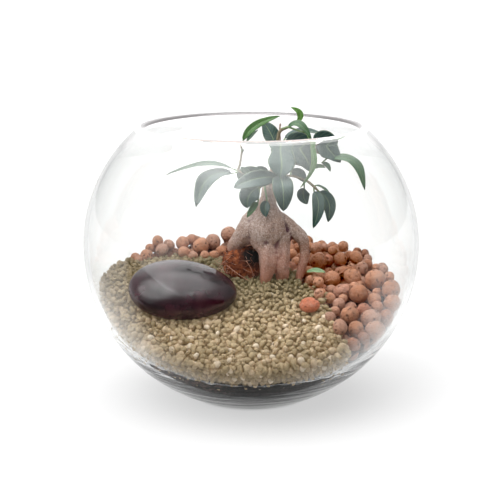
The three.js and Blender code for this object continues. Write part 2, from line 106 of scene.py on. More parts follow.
STONE_CENTRE = (-0.051, -0.024, 0.087)
STONE_HALF = (0.0405, 0.030, 0.018)
STONE_TILT = math.radians(20)
STONE_LEAN = math.radians(4)
PLUG_CENTRE = (-0.007, 0.023, 0.097)
PLUG_HALF = (0.015, 0.013, 0.0125)
# Around this point the peat is painted black, a painted shadow in the gap between the plug and the trunk.
PLUG_SHADOW_CENTRE = (0.0015, 0.012, 0.105)  # the dark gap between the plug and the trunk
BLADE_THICKNESS = 0.0005
TRUNK_VOXEL = 0.0008
# Painted shade on the bark grows darker with the depth of a hollow, up to this depth.
DEEP_HOLLOW = 0.0009  # the depth at which a hollow of the trunk is darkest

CAMERA_DISTANCE = 1.0
CAMERA_HEIGHT = 0.3397
CAMERA_PITCH = math.radians(12.82)
CAMERA_LENS = 97.16
CAMERA_SHIFT = -0.0024

# ---- tables of points ----


def tenths(*rows):
    """Rows written in tenths of a millimetre, as tuples of metres."""
    return [tuple(value / 10000 for value in row) for row in rows]


# Where the gravel meets the clay pebbles, in plan. The clay is behind this line and to its right.
CLAY_EDGE = tenths(
    (-980, 620), (-650, 730), (-400, 750), (-220, 650), (20, 530), (300, 330), (400, 40), (520, -140),
    (600, -380), (660, -600), (780, -1000),
)
# The balls that show from the front, as x, y, z and radius, and the loose ones on the gravel.
CLAY_SEEN = tenths(
    (743, 576, 1019, 52), (841, 458, 958, 56), (715, 465, 939, 60), (659, 592, 982, 40),
    (797, 546, 944, 40), (930, 385, 917, 44), (875, 312, 901, 55), (993, 351, 898, 34),
    (1053, 319, 891, 40), (1082, 169, 869, 42), (958, 86, 866, 87), (790, 167, 869, 70),
    (720, 280, 881, 46), (630, 151, 857, 71), (688, -48, 804, 65), (812, -120, 807, 80),
    (931, -162, 776, 57), (944, -255, 742, 50), (840, -273, 724, 54), (1070, -64, 819, 77),
    (1060, -200, 755, 74), (1000, -290, 660, 69), (886, -385, 693, 77), (727, -366, 707, 77),
    (657, -212, 751, 50), (762, -521, 650, 61), (898, -506, 637, 72), (807, -603, 612, 44),
    (534, 445, 921, 77), (535, 698, 975, 54), (611, 747, 968, 41), (620, 528, 915, 50), (672, 672, 948, 41),
    (457, 359, 861, 51), (304, 422, 871, 65), (349, 998, 980, 42), (390, 857, 948, 45), (337, 715, 925, 45),
    (395, 635, 911, 40), (-772, 787, 1017, 50), (-670, 780, 983, 43), (-731, 711, 959, 57),
    (-836, 757, 963, 41), (-855, 652, 924, 59), (-568, 823, 993, 61), (-495, 907, 1003, 50),
    (-413, 770, 975, 73), (-551, 719, 936, 57), (-316, 886, 991, 74), (-473, 662, 916, 45),
    (-381, 679, 921, 41), (-244, 780, 936, 49), (-188, 989, 1030, 70), (-912, 572, 909, 36),
    (-303, 699, 920, 44),
)
LOOSE_CLAY = tenths(
    (430, -340, 780, 75), (580, -450, 720, 45), (640, -580, 680, 60), (510, -170, 820, 45),
    (515, -5, 870, 45), (495, 90, 860, 47),
)
# The fat trunk and its root legs, each a limb of x, y, z and radius from the top down.
CAUDEX = [
    tenths((130, 180, 1600, 42), (130, 180, 1500, 58), (120, 180, 1420, 90), (120, 180, 1320, 152),
           (130, 190, 1225, 170), (180, 220, 1110, 105)),
    tenths((90, 180, 1360, 92), (10, 200, 1255, 112), (-85, 210, 1160, 76), (-140, 230, 1085, 50),
           (-160, 270, 1000, 30)),
    tenths((90, 150, 1200, 120), (125, 110, 1090, 85), (130, 90, 990, 74), (105, 80, 890, 50),
           (85, 80, 800, 22)),
    tenths((210, 170, 1200, 110), (225, 130, 1100, 78), (230, 110, 1000, 66), (240, 120, 910, 54),
           (230, 140, 800, 34)),
    tenths((160, 180, 1330, 90), (290, 180, 1255, 66), (385, 180, 1180, 54), (415, 180, 1090, 40),
           (392, 170, 955, 34), (355, 150, 800, 26)),
    tenths((120, 240, 1260, 120), (90, 330, 1120, 100), (70, 400, 970, 70), (70, 440, 790, 40)),
]
WOODY_STEM = tenths(
    (130, 180, 1540, 44), (160, 180, 1690, 30), (190, 180, 1840, 24), (210, 180, 1940, 19),
    (220, 180, 2070, 9),
)
STRAWS = [
    tenths((-190, 60, 990, 2.8), (-110, 20, 935, 2.6), (-22, -10, 885, 2)),
    tenths((-40, 80, 1020, 2.2), (0, 50, 960, 2.2), (20, 30, 890, 2)),
    tenths((560, -105, 900, 3), (640, -60, 930, 2.8), (730, 40, 965, 2)),
    tenths((700, 200, 960, 2.5), (760, 150, 955, 2.5), (850, 140, 975, 2)),
]
# Which way the upper face of a leaf is turned.
FRONT = (0, -1, 0.35)
UP = (0, -0.3, 1)
LEAN = (0, -0.8, 0.8)
SIDE = (0.9, -0.8, 0.2)
BACK = (0, 1, 0.6)


def leaf(start, base, centre, tip, width, face, youth=0.0):
    """Where one leaf goes: its petiole from start to base, and its rib from base through centre to tip."""
    start, base, centre, tip, (width,) = tenths(start, base, centre, tip, (width,))
    return {"start": start, "rib": (base, centre, tip), "width": width, "face": face, "youth": youth}


# Each shoot is its twigs, as x, y, z and radius, and its leaves.
SHOOTS = {
    "leafy_shoot_leader": (
        [
            tenths((195, 180, 1880, 13), (215, 170, 2000, 13), (278, 150, 2041, 11)),
            tenths((278, 150, 2041, 9), (320, 150, 2062, 8), (346, 150, 2075, 6)),
        ],
        [
            leaf((335, 150, 2070), (346, 150, 2075), (368, 150, 2140), (300, 150, 2190), 48, FRONT, 0.75),
            leaf((233, 160, 2026), (278, 140, 2042), (366, 90, 2067), (452, 50, 1956), 62, LEAN, 0.2),
            leaf((278, 140, 2042), (411, 70, 2006), (463, 10, 1826), (371, -10, 1605), 62, SIDE, 0.5),
        ],
    ),
    "leafy_shoot_left": (
        [
            tenths((140, 180, 1640, 14), (40, 200, 1690, 12), (-89, 220, 1731, 11), (-85, 215, 1810, 9),
                   (-65, 200, 1925, 7)),
        ],
        [
            leaf((-70, 200, 1888), (-62, 200, 1931), (33, 180, 2048), (218, 180, 2120), 62, FRONT, 0.45),
            leaf((-89, 220, 1731), (-147, 220, 1762), (-367, 180, 1811), (-647, 120, 1686), 55, LEAN, 0.1),
            leaf((-89, 220, 1731), (-147, 220, 1704), (-314, 170, 1674), (-421, 100, 1435), 150, LEAN),
            leaf((6, 200, 1696), (90, 160, 1702), (82, 140, 1752), (40, 130, 1792), 85, FRONT),
            leaf((-89, 220, 1731), (-24, 200, 1696), (-47, 200, 1742), (-78, 200, 1781), 60, FRONT, 0.1),
            leaf((-70, 220, 1885), (-32, 240, 1921), (-2, 250, 1958), (52, 260, 2003), 30, LEAN, 0.1),
        ],
    ),
    "leafy_shoot_front": (
        [
            tenths((150, 170, 1660, 14), (170, 80, 1720, 12), (200, 90, 1820, 10), (209, 100, 1935, 8)),
            tenths((170, 80, 1720, 10), (120, 80, 1640, 10), (62, 85, 1585, 8)),
        ],
        [
            leaf((205, 120, 1900), (209, 90, 1935), (227, 0, 1827), (211, -40, 1705), 205, FRONT),
            leaf((188, 80, 1708), (210, 50, 1713), (238, -60, 1603), (241, -60, 1435), 158, FRONT),
            leaf((150, 80, 1708), (194, 40, 1684), (43, -30, 1689), (-129, -50, 1609), 165, FRONT),
            leaf((82, 90, 1600), (52, 80, 1585), (-17, 30, 1537), (-28, 0, 1446), 155, FRONT),
            leaf((62, 90, 1583), (52, 70, 1479), (10, 50, 1433), (-32, 30, 1367), 50, FRONT, 0.3),
            leaf((100, 80, 1610), (120, 50, 1491), (104, 20, 1443), (112, 0, 1377), 78, FRONT),
        ],
    ),
    "leafy_shoot_right": (
        [
            tenths((180, 180, 1840, 14), (235, 240, 1890, 13), (358, 250, 1904, 12), (480, 250, 1900, 11),
                   (603, 240, 1860, 8)),
        ],
        [
            leaf((235, 240, 1890), (190, 260, 1872), (152, 310, 1965), (91, 360, 2055), 125, FRONT),
            leaf((235, 240, 1890), (259, 280, 1935), (407, 340, 1984), (602, 380, 1932), 85, UP),
            leaf((358, 250, 1904), (265, 210, 1933), (393, 160, 1887), (454, 130, 1723), 180, FRONT),
            leaf((480, 250, 1900), (472, 240, 1933), (580, 250, 1916), (680, 230, 1807), 145, FRONT),
            leaf((603, 240, 1860), (618, 240, 1844), (777, 200, 1811), (868, 140, 1559), 88, LEAN, 0.2),
            leaf((475, 250, 1890), (467, 250, 1749), (513, 250, 1777), (565, 230, 1757), 50, FRONT, 0.3),
            leaf((590, 240, 1864), (535, 240, 1809), (577, 230, 1788), (603, 200, 1715), 42, FRONT, 0.1),
        ],
    ),
    "leafy_shoot_low": (
        [
            tenths((150, 180, 1640, 14), (280, 200, 1680, 12), (410, 220, 1630, 11), (482, 200, 1575, 10),
                   (512, 200, 1545, 8)),
        ],
        [
            leaf((300, 200, 1675), (305, 240, 1736), (363, 240, 1697), (405, 220, 1607), 105, FRONT),
            leaf((406, 220, 1630), (410, 240, 1556), (403, 240, 1498), (434, 220, 1435), 100, FRONT),
            leaf((482, 200, 1571), (482, 190, 1538), (514, 120, 1439), (473, 80, 1275), 98, FRONT),
            leaf((512, 200, 1545), (524, 200, 1536), (597, 180, 1450), (590, 150, 1308), 105, FRONT),
            leaf((482, 200, 1577), (501, 210, 1585), (572, 230, 1543), (616, 240, 1455), 52, UP, 0.1),
        ],
    ),
    "leafy_shoot_back": (
        [
            tenths((150, 200, 1660, 14), (140, 270, 1710, 12), (190, 310, 1810, 10)),
        ],
        [
            leaf((140, 270, 1710), (90, 300, 1710), (-30, 370, 1710), (-100, 460, 1600), 120, BACK),
            leaf((190, 310, 1810), (210, 340, 1830), (250, 420, 1840), (270, 520, 1740), 130, BACK),
            leaf((190, 310, 1810), (240, 340, 1810), (380, 430, 1810), (470, 500, 1700), 120, BACK),
            leaf((140, 270, 1710), (170, 310, 1680), (230, 410, 1630), (240, 480, 1500), 120, BACK),
            leaf((140, 270, 1710), (130, 330, 1700), (100, 450, 1680), (80, 540, 1570), 110, BACK),
            leaf((140, 270, 1710), (90, 300, 1650), (20, 400, 1600), (-40, 450, 1480), 110, BACK),
        ],
    ),
}
FALLEN_LEAF = leaf((430, 80, 0), (430, 80, 0), (500, 80, 10), (570, 60, 0), 60, (0, -0.35, 1), 0.6)

# ---- meshes ----


def read(items, name, width=3, kind=np.float32):
    """One property of every point, edge, corner or face of a mesh, as the rows of an array."""
    values = np.zeros(len(items) * width, dtype=kind)
    items.foreach_get(name, values)
    return values.reshape(-1, width)


def move_to(mesh, points):
    mesh.vertices.foreach_set("co", points.ravel())
    mesh.update()


def store(mesh, name, values, kind="FLOAT", field="value"):
    attribute = mesh.attributes.new(name, kind, "POINT")
    attribute.data.foreach_set(field, np.asarray(values, dtype=np.float32).ravel())


def place(name, mesh):
    piece = bpy.data.objects.new(name, mesh)
    bpy.context.scene.collection.objects.link(piece)
    return piece


class Shape:
    """Points and faces gathered for one mesh. Each point has a tone, and a place across and along a leaf."""

    def __init__(self):
        self.points = []
        self.faces = []
        self.finish = []
        self.tone = []
        self.across = []

    def add(self, points, faces, tone=0.0, across=None, finish=0):
        first = len(self.points)
        self.points += [tuple(point) for point in points]
        self.faces += [[first + k for k in face] for face in faces]
        self.finish += [finish] * len(faces)
        self.tone += [tone] * len(points)
        self.across += across or [(0.5, 0.5)] * len(points)

    def piece(self, name):
        """A smooth piece with this mesh, its faces turned outwards."""
        mesh = bpy.data.meshes.new(name)
        mesh.from_pydata(self.points, [], self.faces)
        mesh.polygons.foreach_set("material_index", self.finish)
        store(mesh, "tone", self.tone)
        corners = read(mesh.loops, "vertex_index", 1, np.int32)[:, 0]
        uv = mesh.uv_layers.new(name="leaf")
        uv.data.foreach_set("uv", np.array(self.across, dtype=np.float32)[corners].ravel())
        shell = bmesh.new()
        shell.from_mesh(mesh)
        bmesh.ops.recalc_face_normals(shell, faces=shell.faces)
        shell.to_mesh(mesh)
        shell.free()
        mesh.shade_smooth()
        return place(name, mesh)


def one_piece(name, points, faces, tone=0.0):
    shape = Shape()
    shape.add(points, faces, tone=tone)
    return shape.piece(name)


def evaluated(piece):
    """The piece's mesh with its modifiers applied. The modifiers are then removed."""
    depsgraph = bpy.context.evaluated_depsgraph_get()
    mesh = bpy.data.meshes.new_from_object(
        piece.evaluated_get(depsgraph), preserve_all_data_layers=True, depsgraph=depsgraph
    )
    piece.modifiers.clear()
    return mesh


def join(first, *others):
    with bpy.context.temp_override(active_object=first, selected_editable_objects=[first, *others]):
        bpy.ops.object.join()


def dress(piece, materials, nodes=()):
    """Gives a piece its materials, hangs it on the root body and hides the imported nodes that it stands in
    for.
    """
    if not piece.data.materials:
        for material in materials:
            piece.data.materials.append(material)
    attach(piece, "root")
    if nodes:
        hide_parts(*nodes)


def ring_faces(first, rows, sides, below, above):
    """Faces between rows of points that are numbered from first, with a fan to one more point at each end."""
    last = first + (rows - 1) * sides
    faces = []
    for j in range(sides):
        k = (j + 1) % sides
        faces.append([below, first + k, first + j])
        faces += [[row + j, row + k, row + sides + k, row + sides + j] for row in range(first, last, sides)]
        faces.append([above, last + j, last + k])
    return faces


def loft(rings):
    """A closed body through rings of equal point counts, with the middle of its first and last ring."""
    sides = len(rings[0])
    points = [point for ring in rings for point in ring]
    points += [sum((Vector(p) for p in ring), Vector()) / sides for ring in (rings[0], rings[-1])]
    return points, ring_faces(0, len(rings), sides, len(points) - 2, len(points) - 1)


def lofted_pebble(steps, sides, near_end, spot):
    """A pebble through rings from one end to the other. spot(polar, angle) places each of their points."""
    polars = [math.pi * min(max(i, near_end), steps - near_end) / steps for i in range(steps + 1)]
    return loft([[spot(polar, math.tau * j / sides) for j in range(sides)] for polar in polars])


def turned(sides, profile_at):
    """A closed body round the z axis. profile_at(angle) gives radius and height from bottom to top."""
    angles = [math.tau * j / sides for j in range(sides)]
    profiles = [profile_at(angle) for angle in angles]
    points = [Vector((0, 0, profiles[0][0][1])), Vector((0, 0, profiles[0][-1][1]))]
    for row in list(zip(*profiles))[1:-1]:
        points += [Vector((radius * math.cos(angle), radius * math.sin(angle), z))
                   for angle, (radius, z) in zip(angles, row)]
    return points, ring_faces(2, len(profiles[0]) - 2, sides, 0, 1)


def smooth_path(knots, steps):
    """Points with their radius along a smooth curve through knots of x, y, z and radius."""
    knots = [np.array(knot, dtype=float) for knot in knots]
    ends = [2 * knots[0] - knots[1], *knots, 2 * knots[-1] - knots[-2]]
    path = []
    for k in range(1, len(ends) - 2):
        before, here, after, beyond = ends[k - 1:k + 3]
        for step in range(steps + (k == len(ends) - 3)):
            t = step / steps
            path.append(0.5 * (2 * here + (after - before) * t
                               + (2 * before - 5 * here + 4 * after - beyond) * t ** 2
                               + (3 * here - before - 3 * after + beyond) * t ** 3))
    return path


def tube(knots, steps, sides):
    """A round limb along a smooth path."""
    path = smooth_path(knots, steps)
    centres = [Vector(knot[:3]) for knot in path]
    rings = []
    across = None
    for i, centre in enumerate(centres):
        along = (centres[min(i + 1, len(centres) - 1)] - centres[max(i - 1, 0)]).normalized()
        if across is None:
            across = along.orthogonal().normalized()
        across = (across - along * across.dot(along)).normalized()
        up = along.cross(across)
        radius = float(path[i][3])
        rings.append([centre + radius * (math.cos(a) * across + math.sin(a) * up)
                      for a in (math.tau * j / sides for j in range(sides))])
    return loft(rings)


# ---- the bowl and the ground in it ----


def smoothstep(value, low, high):
    share = min(max((value - low) / (high - low), 0.0), 1.0)
    return share * share * (3 - 2 * share)


def wall_point(angle, depth):
    """Radius and height of a point this deep in the wall, at an angle from straight down."""
    half = HALF_BELOW if angle < math.pi / 2 else HALF_ABOVE
    normal = Vector((math.sin(angle) / BOWL_RADIUS, -math.cos(angle) / half)).normalized()
    point = Vector((BOWL_RADIUS * math.sin(angle), MIDDLE_Z - half * math.cos(angle)))
    return point - depth * normal


def wall_thickness(angle):
    towards_base = max(0.0, math.cos(angle)) ** 6
    flare = smoothstep(angle, RIM_ANGLE - RIM_FLARE, RIM_ANGLE)
    return WALL + BOTTOM_EXTRA * towards_base + flare * (2 * RIM_BEAD_RADIUS - WALL)


def inside_profile(steps):
    """Radius and height along the inner wall, from the middle of the bottom to the rim."""
    angles = [RIM_ANGLE * i / steps for i in range(steps + 1)]
    profile = [wall_point(angle, wall_thickness(angle)) for angle in angles]
    profile[0].x = 0.0
    return profile


INSIDE = np.array([tuple(point) for point in inside_profile(200)])


def inside_radius(z):
    return float(np.interp(z, INSIDE[:, 1], INSIDE[:, 0]))


def meets_glass(angle, height, inset, radius=0.1):
    """How far out a surface meets the glass at an angle, less an inset, from a first guess of the radius."""
    for _ in range(8):
        radius = inside_radius(height(radius * math.cos(angle), radius * math.sin(angle))) - inset
    return radius


def ground_z(x, y):
    slope = LEVEL_Z + FRONT_SLOPE * (y - SLOPE_START_Y)
    level = LEVEL_Z + BACK_SLOPE * y
    return -math.log(math.exp(-GROUND_BLEND * slope) + math.exp(-GROUND_BLEND * level)) / GROUND_BLEND


def clay_z(x, y):
    return ground_z(x, y) + CLAY_RISE * smoothstep(y, *CLAY_RISE_Y)


def soil_z(x, y):
    return SOIL_FRONT_Z + SOIL_SLOPE * (y - SOIL_FRONT_Y)


def left_rise(x):
    """How much higher the soil reaches up the glass at the left."""
    return 0.005 * smoothstep(-x, 0.02, 0.06)


def clay_inset(x, y):
    """How far a point lies on the clay's side of the edge of the gravel. On the gravel's it is below zero."""
    nearest = None
    for start, end in zip(CLAY_EDGE, CLAY_EDGE[1:]):
        run_x, run_y = end[0] - start[0], end[1] - start[1]
        along = ((x - start[0]) * run_x + (y - start[1]) * run_y) / (run_x ** 2 + run_y ** 2)
        along = min(max(along, 0.0), 1.0)
        off_x, off_y = x - start[0] - along * run_x, y - start[1] - along * run_y
        distance = math.hypot(off_x, off_y)
        if nearest is None or distance < abs(nearest):
            nearest = math.copysign(distance, run_x * off_y - run_y * off_x)
    return nearest


def in_egg(point, centre, half, margin):
    """Whether a point lies in an egg-shaped thing or near it."""
    offset = Vector(point) - Vector(centre)
    return sum((offset[k] / (half[k] + margin)) ** 2 for k in range(3)) < 1


def in_plant(point, margin):
    """Whether a point lies in the peat plug or the trunk's limbs, or near them."""
    if in_egg(point, PLUG_CENTRE, PLUG_HALF, margin):
        return True
    for knots in CAUDEX:
        for start, end in zip(knots, knots[1:]):
            a, b = Vector(start[:3]), Vector(end[:3])
            along = min(max((point - a).dot(b - a) / (b - a).length_squared, 0.0), 1.0)
            radius = start[3] + (end[3] - start[3]) * along
            if (point - a - along * (b - a)).length < radius + margin:
                return True
    return False


class Heap:
    """Round things that may hardly overlap, found again by the cell they lie in."""

    def __init__(self, cell, overlap):
        self.cell = cell
        self.overlap = overlap
        self.cells = {}
        self.spots = []

    def key(self, point):
        return tuple(math.floor(value / self.cell) for value in point)

    def fits(self, point, radius):
        i, j, k = self.key(point)
        for near in ((i + a, j + b, k + c) for a in (-1, 0, 1) for b in (-1, 0, 1) for c in (-1, 0, 1)):
            for other, other_radius in self.cells.get(near, ()):
                if (other - point).length < (radius + other_radius) * (1 - self.overlap):
                    return False
        return True

    def add(self, point, radius, tone):
        self.cells.setdefault(self.key(point), []).append((point, radius))
        self.spots.append((point, radius, tone))

    def offer(self, point, radius, tone):
        if self.fits(point, radius):
            self.add(point, radius, tone)


def cloud(name, spots):
    """A mesh of bare points, each with the size and tone of what will stand on it."""
    mesh = bpy.data.meshes.new(name)
    mesh.from_pydata([tuple(point) for point, _, _ in spots], [], [])
    store(mesh, "size", [radius for _, radius, _ in spots])
    store(mesh, "tone", [tone for _, _, tone in spots])
    return place(name, mesh)


def press_to_glass(mesh, clearance=GAP):
    """Moves what would stand in the glass back to its inner face."""
    points = read(mesh.vertices, "co")
    radius = np.hypot(points[:, 0], points[:, 1])
    limit = np.interp(points[:, 2], INSIDE[:, 1], INSIDE[:, 0]) - clearance
    points[:, :2] *= np.minimum(1.0, limit / np.maximum(radius, 1e-6))[:, None]
    move_to(mesh, points)


# ---- node trees ----


class Tree:
    """A node tree being built. What goes into a node is a constant, a socket, or another node, which
    stands for its first output."""

    def __init__(self, tree):
        self.tree = tree

    def connect(self, made, inputs):
        for name, value in dict(inputs).items():
            if isinstance(value, bpy.types.Node):
                value = value.outputs[0]
            if isinstance(value, bpy.types.NodeSocket):
                self.tree.links.new(value, made.inputs[name])
            else:
                made.inputs[name].default_value = value

    def node(self, kind, inputs=(), **settings):
        made = self.tree.nodes.new(kind)
        for name, value in settings.items():
            setattr(made, name, value)
        self.connect(made, inputs)
        return made

    def takes(self, **sockets):
        """The tree's inputs by name, each with its kind, or with the default of a plain number."""
        for title, kind in sockets.items():
            kind, default = (kind, None) if isinstance(kind, str) else ("Float", kind)
            socket = self.tree.interface.new_socket(title, in_out="INPUT", socket_type="NodeSocket" + kind)
            if default is not None:
                socket.default_value = default
        return self.node("NodeGroupInput").outputs

    def gives(self, title, kind, value):
        self.tree.interface.new_socket(title, in_out="OUTPUT", socket_type="NodeSocket" + kind)
        self.node("NodeGroupOutput", {title: value})
        return self.tree

    def maths(self, operation, *values):
        return self.node("ShaderNodeMath", dict(enumerate(values)), operation=operation)

    def times(self, *values):
        return self.maths("MULTIPLY", *values)

    def vector(self, operation, *values, **more):
        return self.node("ShaderNodeVectorMath", {**dict(enumerate(values)), **more}, operation=operation)

    def spread(self, value, low, high, to_low=0.0, to_high=1.0, **settings):
        return self.node("ShaderNodeMapRange", {"Value": value, "From Min": low, "From Max": high,
                                                "To Min": to_low, "To Max": to_high}, **settings)

    def noise(self, vector, scale, detail, **more):
        return self.node("ShaderNodeTexNoise", {"Vector": vector, "Scale": scale, "Detail": detail, **more})

    def named(self, name, kind):
        return self.node("GeometryNodeInputNamedAttribute", {"Name": name}, data_type=kind)

    def random_vector(self, low, high, seed):
        return self.node("FunctionNodeRandomValue", {0: low, 1: high, "Seed": seed}, data_type="FLOAT_VECTOR")

    def stands(self, given, inputs, smooth):
        """Stands instances on the given points, makes them one mesh with its finish, and puts it out."""
        mesh = self.node("GeometryNodeInstanceOnPoints", {"Points": given["Geometry"], **inputs})
        mesh = self.node("GeometryNodeRealizeInstances", {"Geometry": mesh})
        if smooth:
            mesh = self.node("GeometryNodeSetShadeSmooth", {"Geometry": mesh})
        mesh = self.node("GeometryNodeSetMaterial", {"Geometry": mesh, "Material": given["Finish"]})
        return self.gives("Geometry", "Geometry", mesh)


def pebble_tree(name, cuts, variants=6):
    """Stands a pebble, one of several lumpy shapes, on each point of a cloud. Roundness turns a
    rounded block into a ball."""
    tree = Tree(bpy.data.node_groups.new(name, "GeometryNodeTree"))
    given = tree.takes(Geometry="Geometry", Roundness="Float", Lumps="Float", Narrowest="Vector",
                       Widest="Vector", Seed="Int", Finish="Material")
    shapes = tree.node("GeometryNodeJoinGeometry")
    cube = tree.node("GeometryNodeMeshCube", {"Size": (1.75, 1.75, 1.75)})
    rounded = tree.node("GeometryNodeSubdivisionSurface", {"Mesh": cube, "Level": cuts})
    position = tree.node("GeometryNodeInputPosition")
    on_ball = tree.vector("NORMALIZE", position)
    between = tree.node("ShaderNodeMix", {"Factor": given["Roundness"], 4: position, 5: on_ball},
                        data_type="VECTOR").outputs[1]
    for k in range(variants):
        bumps = tree.noise(tree.vector("ADD", position, (7.0 * k, 3.0 * k, 0.0)), 0.9, 1.0)
        more = tree.maths("ADD", tree.times(tree.maths("SUBTRACT", bumps, 0.5), given["Lumps"]), 1.0)
        lumpy = tree.node("GeometryNodeSetPosition",
                          {"Geometry": rounded, "Position": tree.vector("SCALE", between, Scale=more)})
        tree.connect(shapes, {0: tree.node("GeometryNodeGeometryToInstance", {"Geometry": lumpy})})
    seed = given["Seed"]
    stretch = tree.random_vector(given["Narrowest"], given["Widest"], seed)
    scale = tree.vector("SCALE", stretch, Scale=tree.named("size", "FLOAT"))
    turn = tree.random_vector((0, 0, 0), (math.tau, math.tau, math.tau), tree.maths("ADD", seed, 1.0))
    highest, chosen = 5, 2  # the sockets of a whole-number random value
    pick = tree.node("FunctionNodeRandomValue", {highest: variants - 1, "Seed": tree.maths("ADD", seed, 2.0)},
                     data_type="INT").outputs[chosen]
    return tree.stands(given, {"Instance": shapes, "Pick Instance": True, "Instance Index": pick,
                               "Rotation": turn, "Scale": scale}, smooth=True)


def hair_tree():
    """Stands a bent hair on each point of a cloud, along its direction."""
    tree = Tree(bpy.data.node_groups.new("hairs_on_points", "GeometryNodeTree"))
    given = tree.takes(Geometry="Geometry", Thickness="Float", Bend="Float", Seed="Int", Finish="Material")
    tip = tree.node("ShaderNodeCombineXYZ", {"X": given["Bend"], "Z": 1.0})
    hair = tree.node("GeometryNodeCurveQuadraticBezier",
                     {"Resolution": 7, "Start": (0, 0, 0), "Middle": (0, 0.1, 0.6), "End": tip})
    outline = tree.node("GeometryNodeCurvePrimitiveCircle", {"Resolution": 4, "Radius": given["Thickness"]})
    hair = tree.node("GeometryNodeCurveToMesh", {"Curve": hair, "Profile Curve": outline, "Fill Caps": True})
    way = tree.named("way", "FLOAT_VECTOR")
    aimed = tree.node("FunctionNodeAlignRotationToVector", {"Vector": way}, axis="Z")
    spin = tree.random_vector((0, 0, 0), (0, 0, math.tau), given["Seed"])
    spun = tree.node("FunctionNodeRotateRotation", {"Rotation": aimed, "Rotate By": spin},
                     rotation_space="LOCAL")
    return tree.stands(given, {"Instance": hair, "Rotation": spun, "Scale": tree.named("size", "FLOAT")},
                       smooth=False)


def grown(piece, tree, values):
    """Runs a node tree on a piece with these named inputs, and keeps the plain mesh that it makes."""
    modifier = piece.modifiers.new(tree.name, "NODES")
    modifier.node_group = tree
    for item in tree.interface.items_tree:
        if item.in_out == "INPUT" and item.name in values:
            modifier[item.identifier] = values[item.name]
    piece.data = evaluated(piece)
    return piece


def mottle_group():
    """Soft patches, from 0 to 1, with more contrast than plain noise."""
    tree = Tree(bpy.data.node_groups.new("mottle", "ShaderNodeTree"))
    given = tree.takes(Vector="Vector", Scale=100.0, Low=0.35, High=0.65)
    spots = tree.noise(given["Vector"], given["Scale"], 4.0, Roughness=0.6)
    return tree.gives("Mask", "Float", tree.spread(spots, given["Low"], given["High"]))


def pits_group():
    """Small round holes: 1 in a hole, 0 between them."""
    tree = Tree(bpy.data.node_groups.new("pits", "ShaderNodeTree"))
    given = tree.takes(Vector="Vector", Scale=400.0, Size=0.2, Warp=0.002)
    warp = tree.noise(given["Vector"], given["Scale"], 2.0).outputs["Color"]
    moved = tree.vector("ADD", given["Vector"], tree.vector("SCALE", warp, Scale=given["Warp"]))
    cells = tree.node("ShaderNodeTexVoronoi", {"Vector": moved, "Scale": given["Scale"]})
    return tree.gives("Mask", "Float", tree.spread(cells, given["Size"], 0.0))


MOTTLE = mottle_group()
PITS = pits_group()

# ---- materials ----


class Finish(Tree):
    """A material being built, with its Principled BSDF and the object's own coordinates at hand."""

    def __init__(self, name, **looks):
        self.material = bpy.data.materials.new(name)
        self.material.use_nodes = True
        super().__init__(self.material.node_tree)
        self.tree.nodes.clear()
        self.skin = self.node("ShaderNodeBsdfPrincipled")
        self.output = self.node("ShaderNodeOutputMaterial", {"Surface": self.skin})
        self.coordinates = self.node("ShaderNodeTexCoord").outputs["Object"]
        self.wears(**looks)

    def wears(self, **looks):
        """Sets inputs of the Principled BSDF, and gives the material."""
        self.connect(self.skin, {title.replace("_", " "): value for title, value in looks.items()})
        return self.material

    def axis(self, name):
        return self.node("ShaderNodeSeparateXYZ", {0: self.coordinates}).outputs[name]

    def tone(self):
        return self.node("ShaderNodeAttribute", attribute_name="tone").outputs["Fac"]

    def group(self, tree, **inputs):
        return self.node("ShaderNodeGroup", {"Vector": self.coordinates, **inputs}, node_tree=tree)

    def mottle(self, scale, low=0.35, high=0.65):
        return self.group(MOTTLE, Scale=scale, Low=low, High=high)

    def rough(self, scale, detail):
        return self.noise(self.coordinates, scale, detail)

    def relief(self, height, depth):
        return self.node("ShaderNodeBump", {"Height": height, "Distance": depth, "Strength": 1.0})

    def ramp(self, value, *stops):
        made = self.node("ShaderNodeValToRGB", {"Fac": value})
        elements = made.color_ramp.elements
        while len(elements) < len(stops):
            elements.new(1.0)
        for element, (place_at, colour) in zip(elements, stops):
            element.position = place_at
            element.color = (*colour, 1.0)
        return made

    def mix(self, mask, low, high, share=None):
        """A colour between two, by a mask or a share of it. A colour is three numbers or another node."""
        mask = self.times(mask, share) if share else mask
        low, high = [(*colour, 1.0) if isinstance(colour, tuple) else colour for colour in (low, high)]
        return self.node("ShaderNodeMix", {"Factor": mask, 6: low, 7: high}, data_type="RGBA").outputs[2]


CLEAR = (0.985, 0.995, 0.99)


def glass(name):
    """Glass that casts hardly any shadow."""
    made = Finish(name, Base_Color=(*CLEAR, 1.0), Roughness=0.0, IOR=1.5, Transmission_Weight=1.0)
    shadow = made.node("ShaderNodeLightPath").outputs["Is Shadow Ray"]
    clear = made.node("ShaderNodeBsdfTransparent", {"Color": (0.96, 0.97, 0.965, 1.0)})
    surface = made.node("ShaderNodeMixShader", {0: shadow, 1: made.skin, 2: clear})
    made.connect(made.output, {"Surface": surface})
    return made


